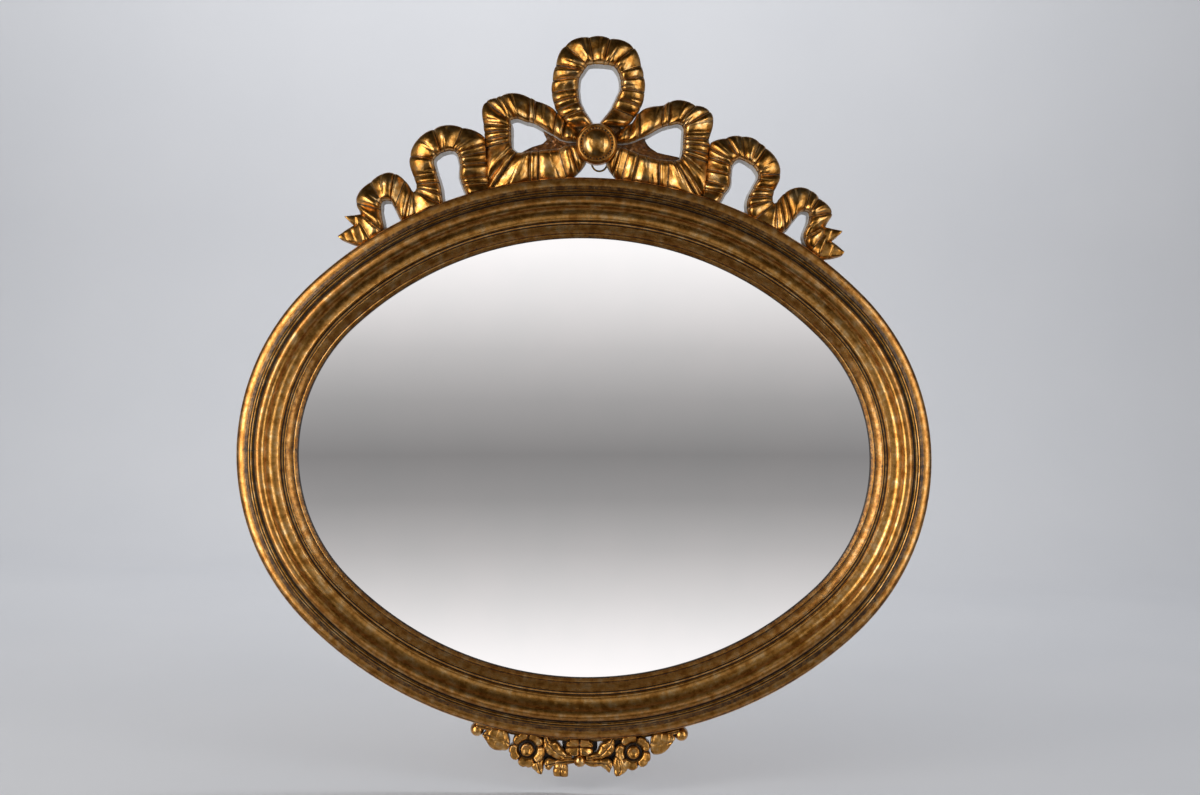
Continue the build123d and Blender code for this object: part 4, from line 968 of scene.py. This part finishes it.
def makeWorld():
    # Plain backdrop for the lens, soft fill for matt surfaces, and for gloss a dark studio
    # with one bright screen that stands just where the glass reflects it.
    world = bpy.data.worlds.new("Studio")
    bpy.context.scene.world = world
    world.use_nodes = True
    tree = world.node_tree
    tree.nodes.clear()
    direction = addNode(tree, "TexCoord", output="Generated")
    roll = math.radians(view["rollDegrees"])
    rightward, upward = (math.cos(roll), 0, math.sin(roll)), (-math.sin(roll), 0, math.cos(roll))
    across, height = (addNode(tree, "VectorMath", [direction, axis], "Value", operation="DOT_PRODUCT")
                      for axis in (rightward, upward))
    low, high = studio["glassBands"][0][0], studio["glassBands"][-1][0]
    bands = addNode(tree, "ValToRGB", [addNode(tree, "MapRange", [height, low, high])])
    stops = bands.node.color_ramp.elements
    while len(stops) < len(studio["glassBands"]):
        stops.new(0.5)
    for stop, (sine, light) in zip(stops, studio["glassBands"]):
        stop.position = (sine - low) / (high - low)
        cool = light * studio["glassWarmth"]
        stop.color = (light, cool, cool, 1)
    squares = []
    for value, centre, half in zip((across, height), studio["glassCentre"], studio["glassHalf"]):
        off = addNode(tree, "Math", [value, centre], operation="SUBTRACT")
        off = addNode(tree, "Math", [off, half], operation="DIVIDE")
        off = addNode(tree, "Math", [off], operation="ABSOLUTE")
        squares.append(addNode(tree, "Math", [off, 2.0], operation="POWER"))
    distance = addNode(tree, "Math", squares, operation="ADD")
    distance = addNode(tree, "Math", [distance], operation="SQRT")
    screen = addNode(tree, "MapRange", [distance, *studio["glassFade"], 1, 0], **smooth)
    level = addNode(tree, "Math", [height], operation="ABSOLUTE")
    fade = [level, 0.0, studio["darkSine"], studio["front"], studio["above"]]
    dark = addNode(tree, "MapRange", fade, **smooth)
    gloss = addNode(tree, "Mix", {0: screen, 6: dark, 7: bands}, 2, **colours)
    rays = addNode(tree, "LightPath").node.outputs
    fill = (studio["fill"], studio["fill"], studio["fill"], 1)
    colour = addNode(tree, "Mix", {0: rays["Is Glossy Ray"], 6: fill, 7: gloss}, 2, **colours)
    backdrop = linear(studio["backdrop"])
    colour = addNode(tree, "Mix", {0: rays["Is Camera Ray"], 6: colour, 7: backdrop}, 2, **colours)
    addNode(tree, "OutputWorld", [addNode(tree, "Background", [colour, 1.0])])


view = {"place": (0.015, -1.513, 0.0637), "rollDegrees": 1.49, "focalPixels": 1432.4, "imageWidth": 1200}
makeWorld()
# place, target, size, watts, tint, and whether gold and glass reflect it
lamps = {
    "screen_left": ((-1.30, -1.22, 0.10), (0, 0, 0.03), (0.62, 1.9), 21, "#FFFBF4", True),
    "screen_right": ((1.34, -1.18, 0.10), (0, 0, 0.03), (0.58, 1.9), 11, "#FFFDFA", True),
    "backdrop_wash": ((-0.3, 0.7, 2.3), (-0.2, 2.7, 0.5), (3.6, 0.8), 56, "#FAFBFC", False),
}
for name, (place, target, size, power, tint, reflected) in lamps.items():
    data = bpy.data.lights.new(name, "AREA")
    data.shape = "RECTANGLE"
    data.size, data.size_y = size
    data.energy = power
    data.color = linear(tint)[:3]
    lamp = bpy.data.objects.new(name, data)
    lamp.location = place
    aim = np.array(target) - np.array(place)
    tilt = math.atan2(math.hypot(aim[0], aim[1]), -aim[2])
    lamp.rotation_euler = (tilt, 0, math.atan2(aim[1], aim[0]) - math.pi / 2)
    lamp.visible_glossy = reflected
    bpy.context.scene.collection.objects.link(lamp)

camera = bpy.data.cameras.new("view")
camera.sensor_fit = "HORIZONTAL"
camera.sensor_width = 36.0
camera.lens = camera.sensor_width * view["focalPixels"] / view["imageWidth"]
viewer = bpy.data.objects.new("view", camera)
viewer.location = view["place"]
viewer.rotation_euler = (math.pi / 2, -math.radians(view["rollDegrees"]), 0)
bpy.context.scene.collection.objects.link(viewer)
bpy.context.scene.camera = viewer
bpy.context.scene.view_settings.view_transform = "Standard"
print("stage done")
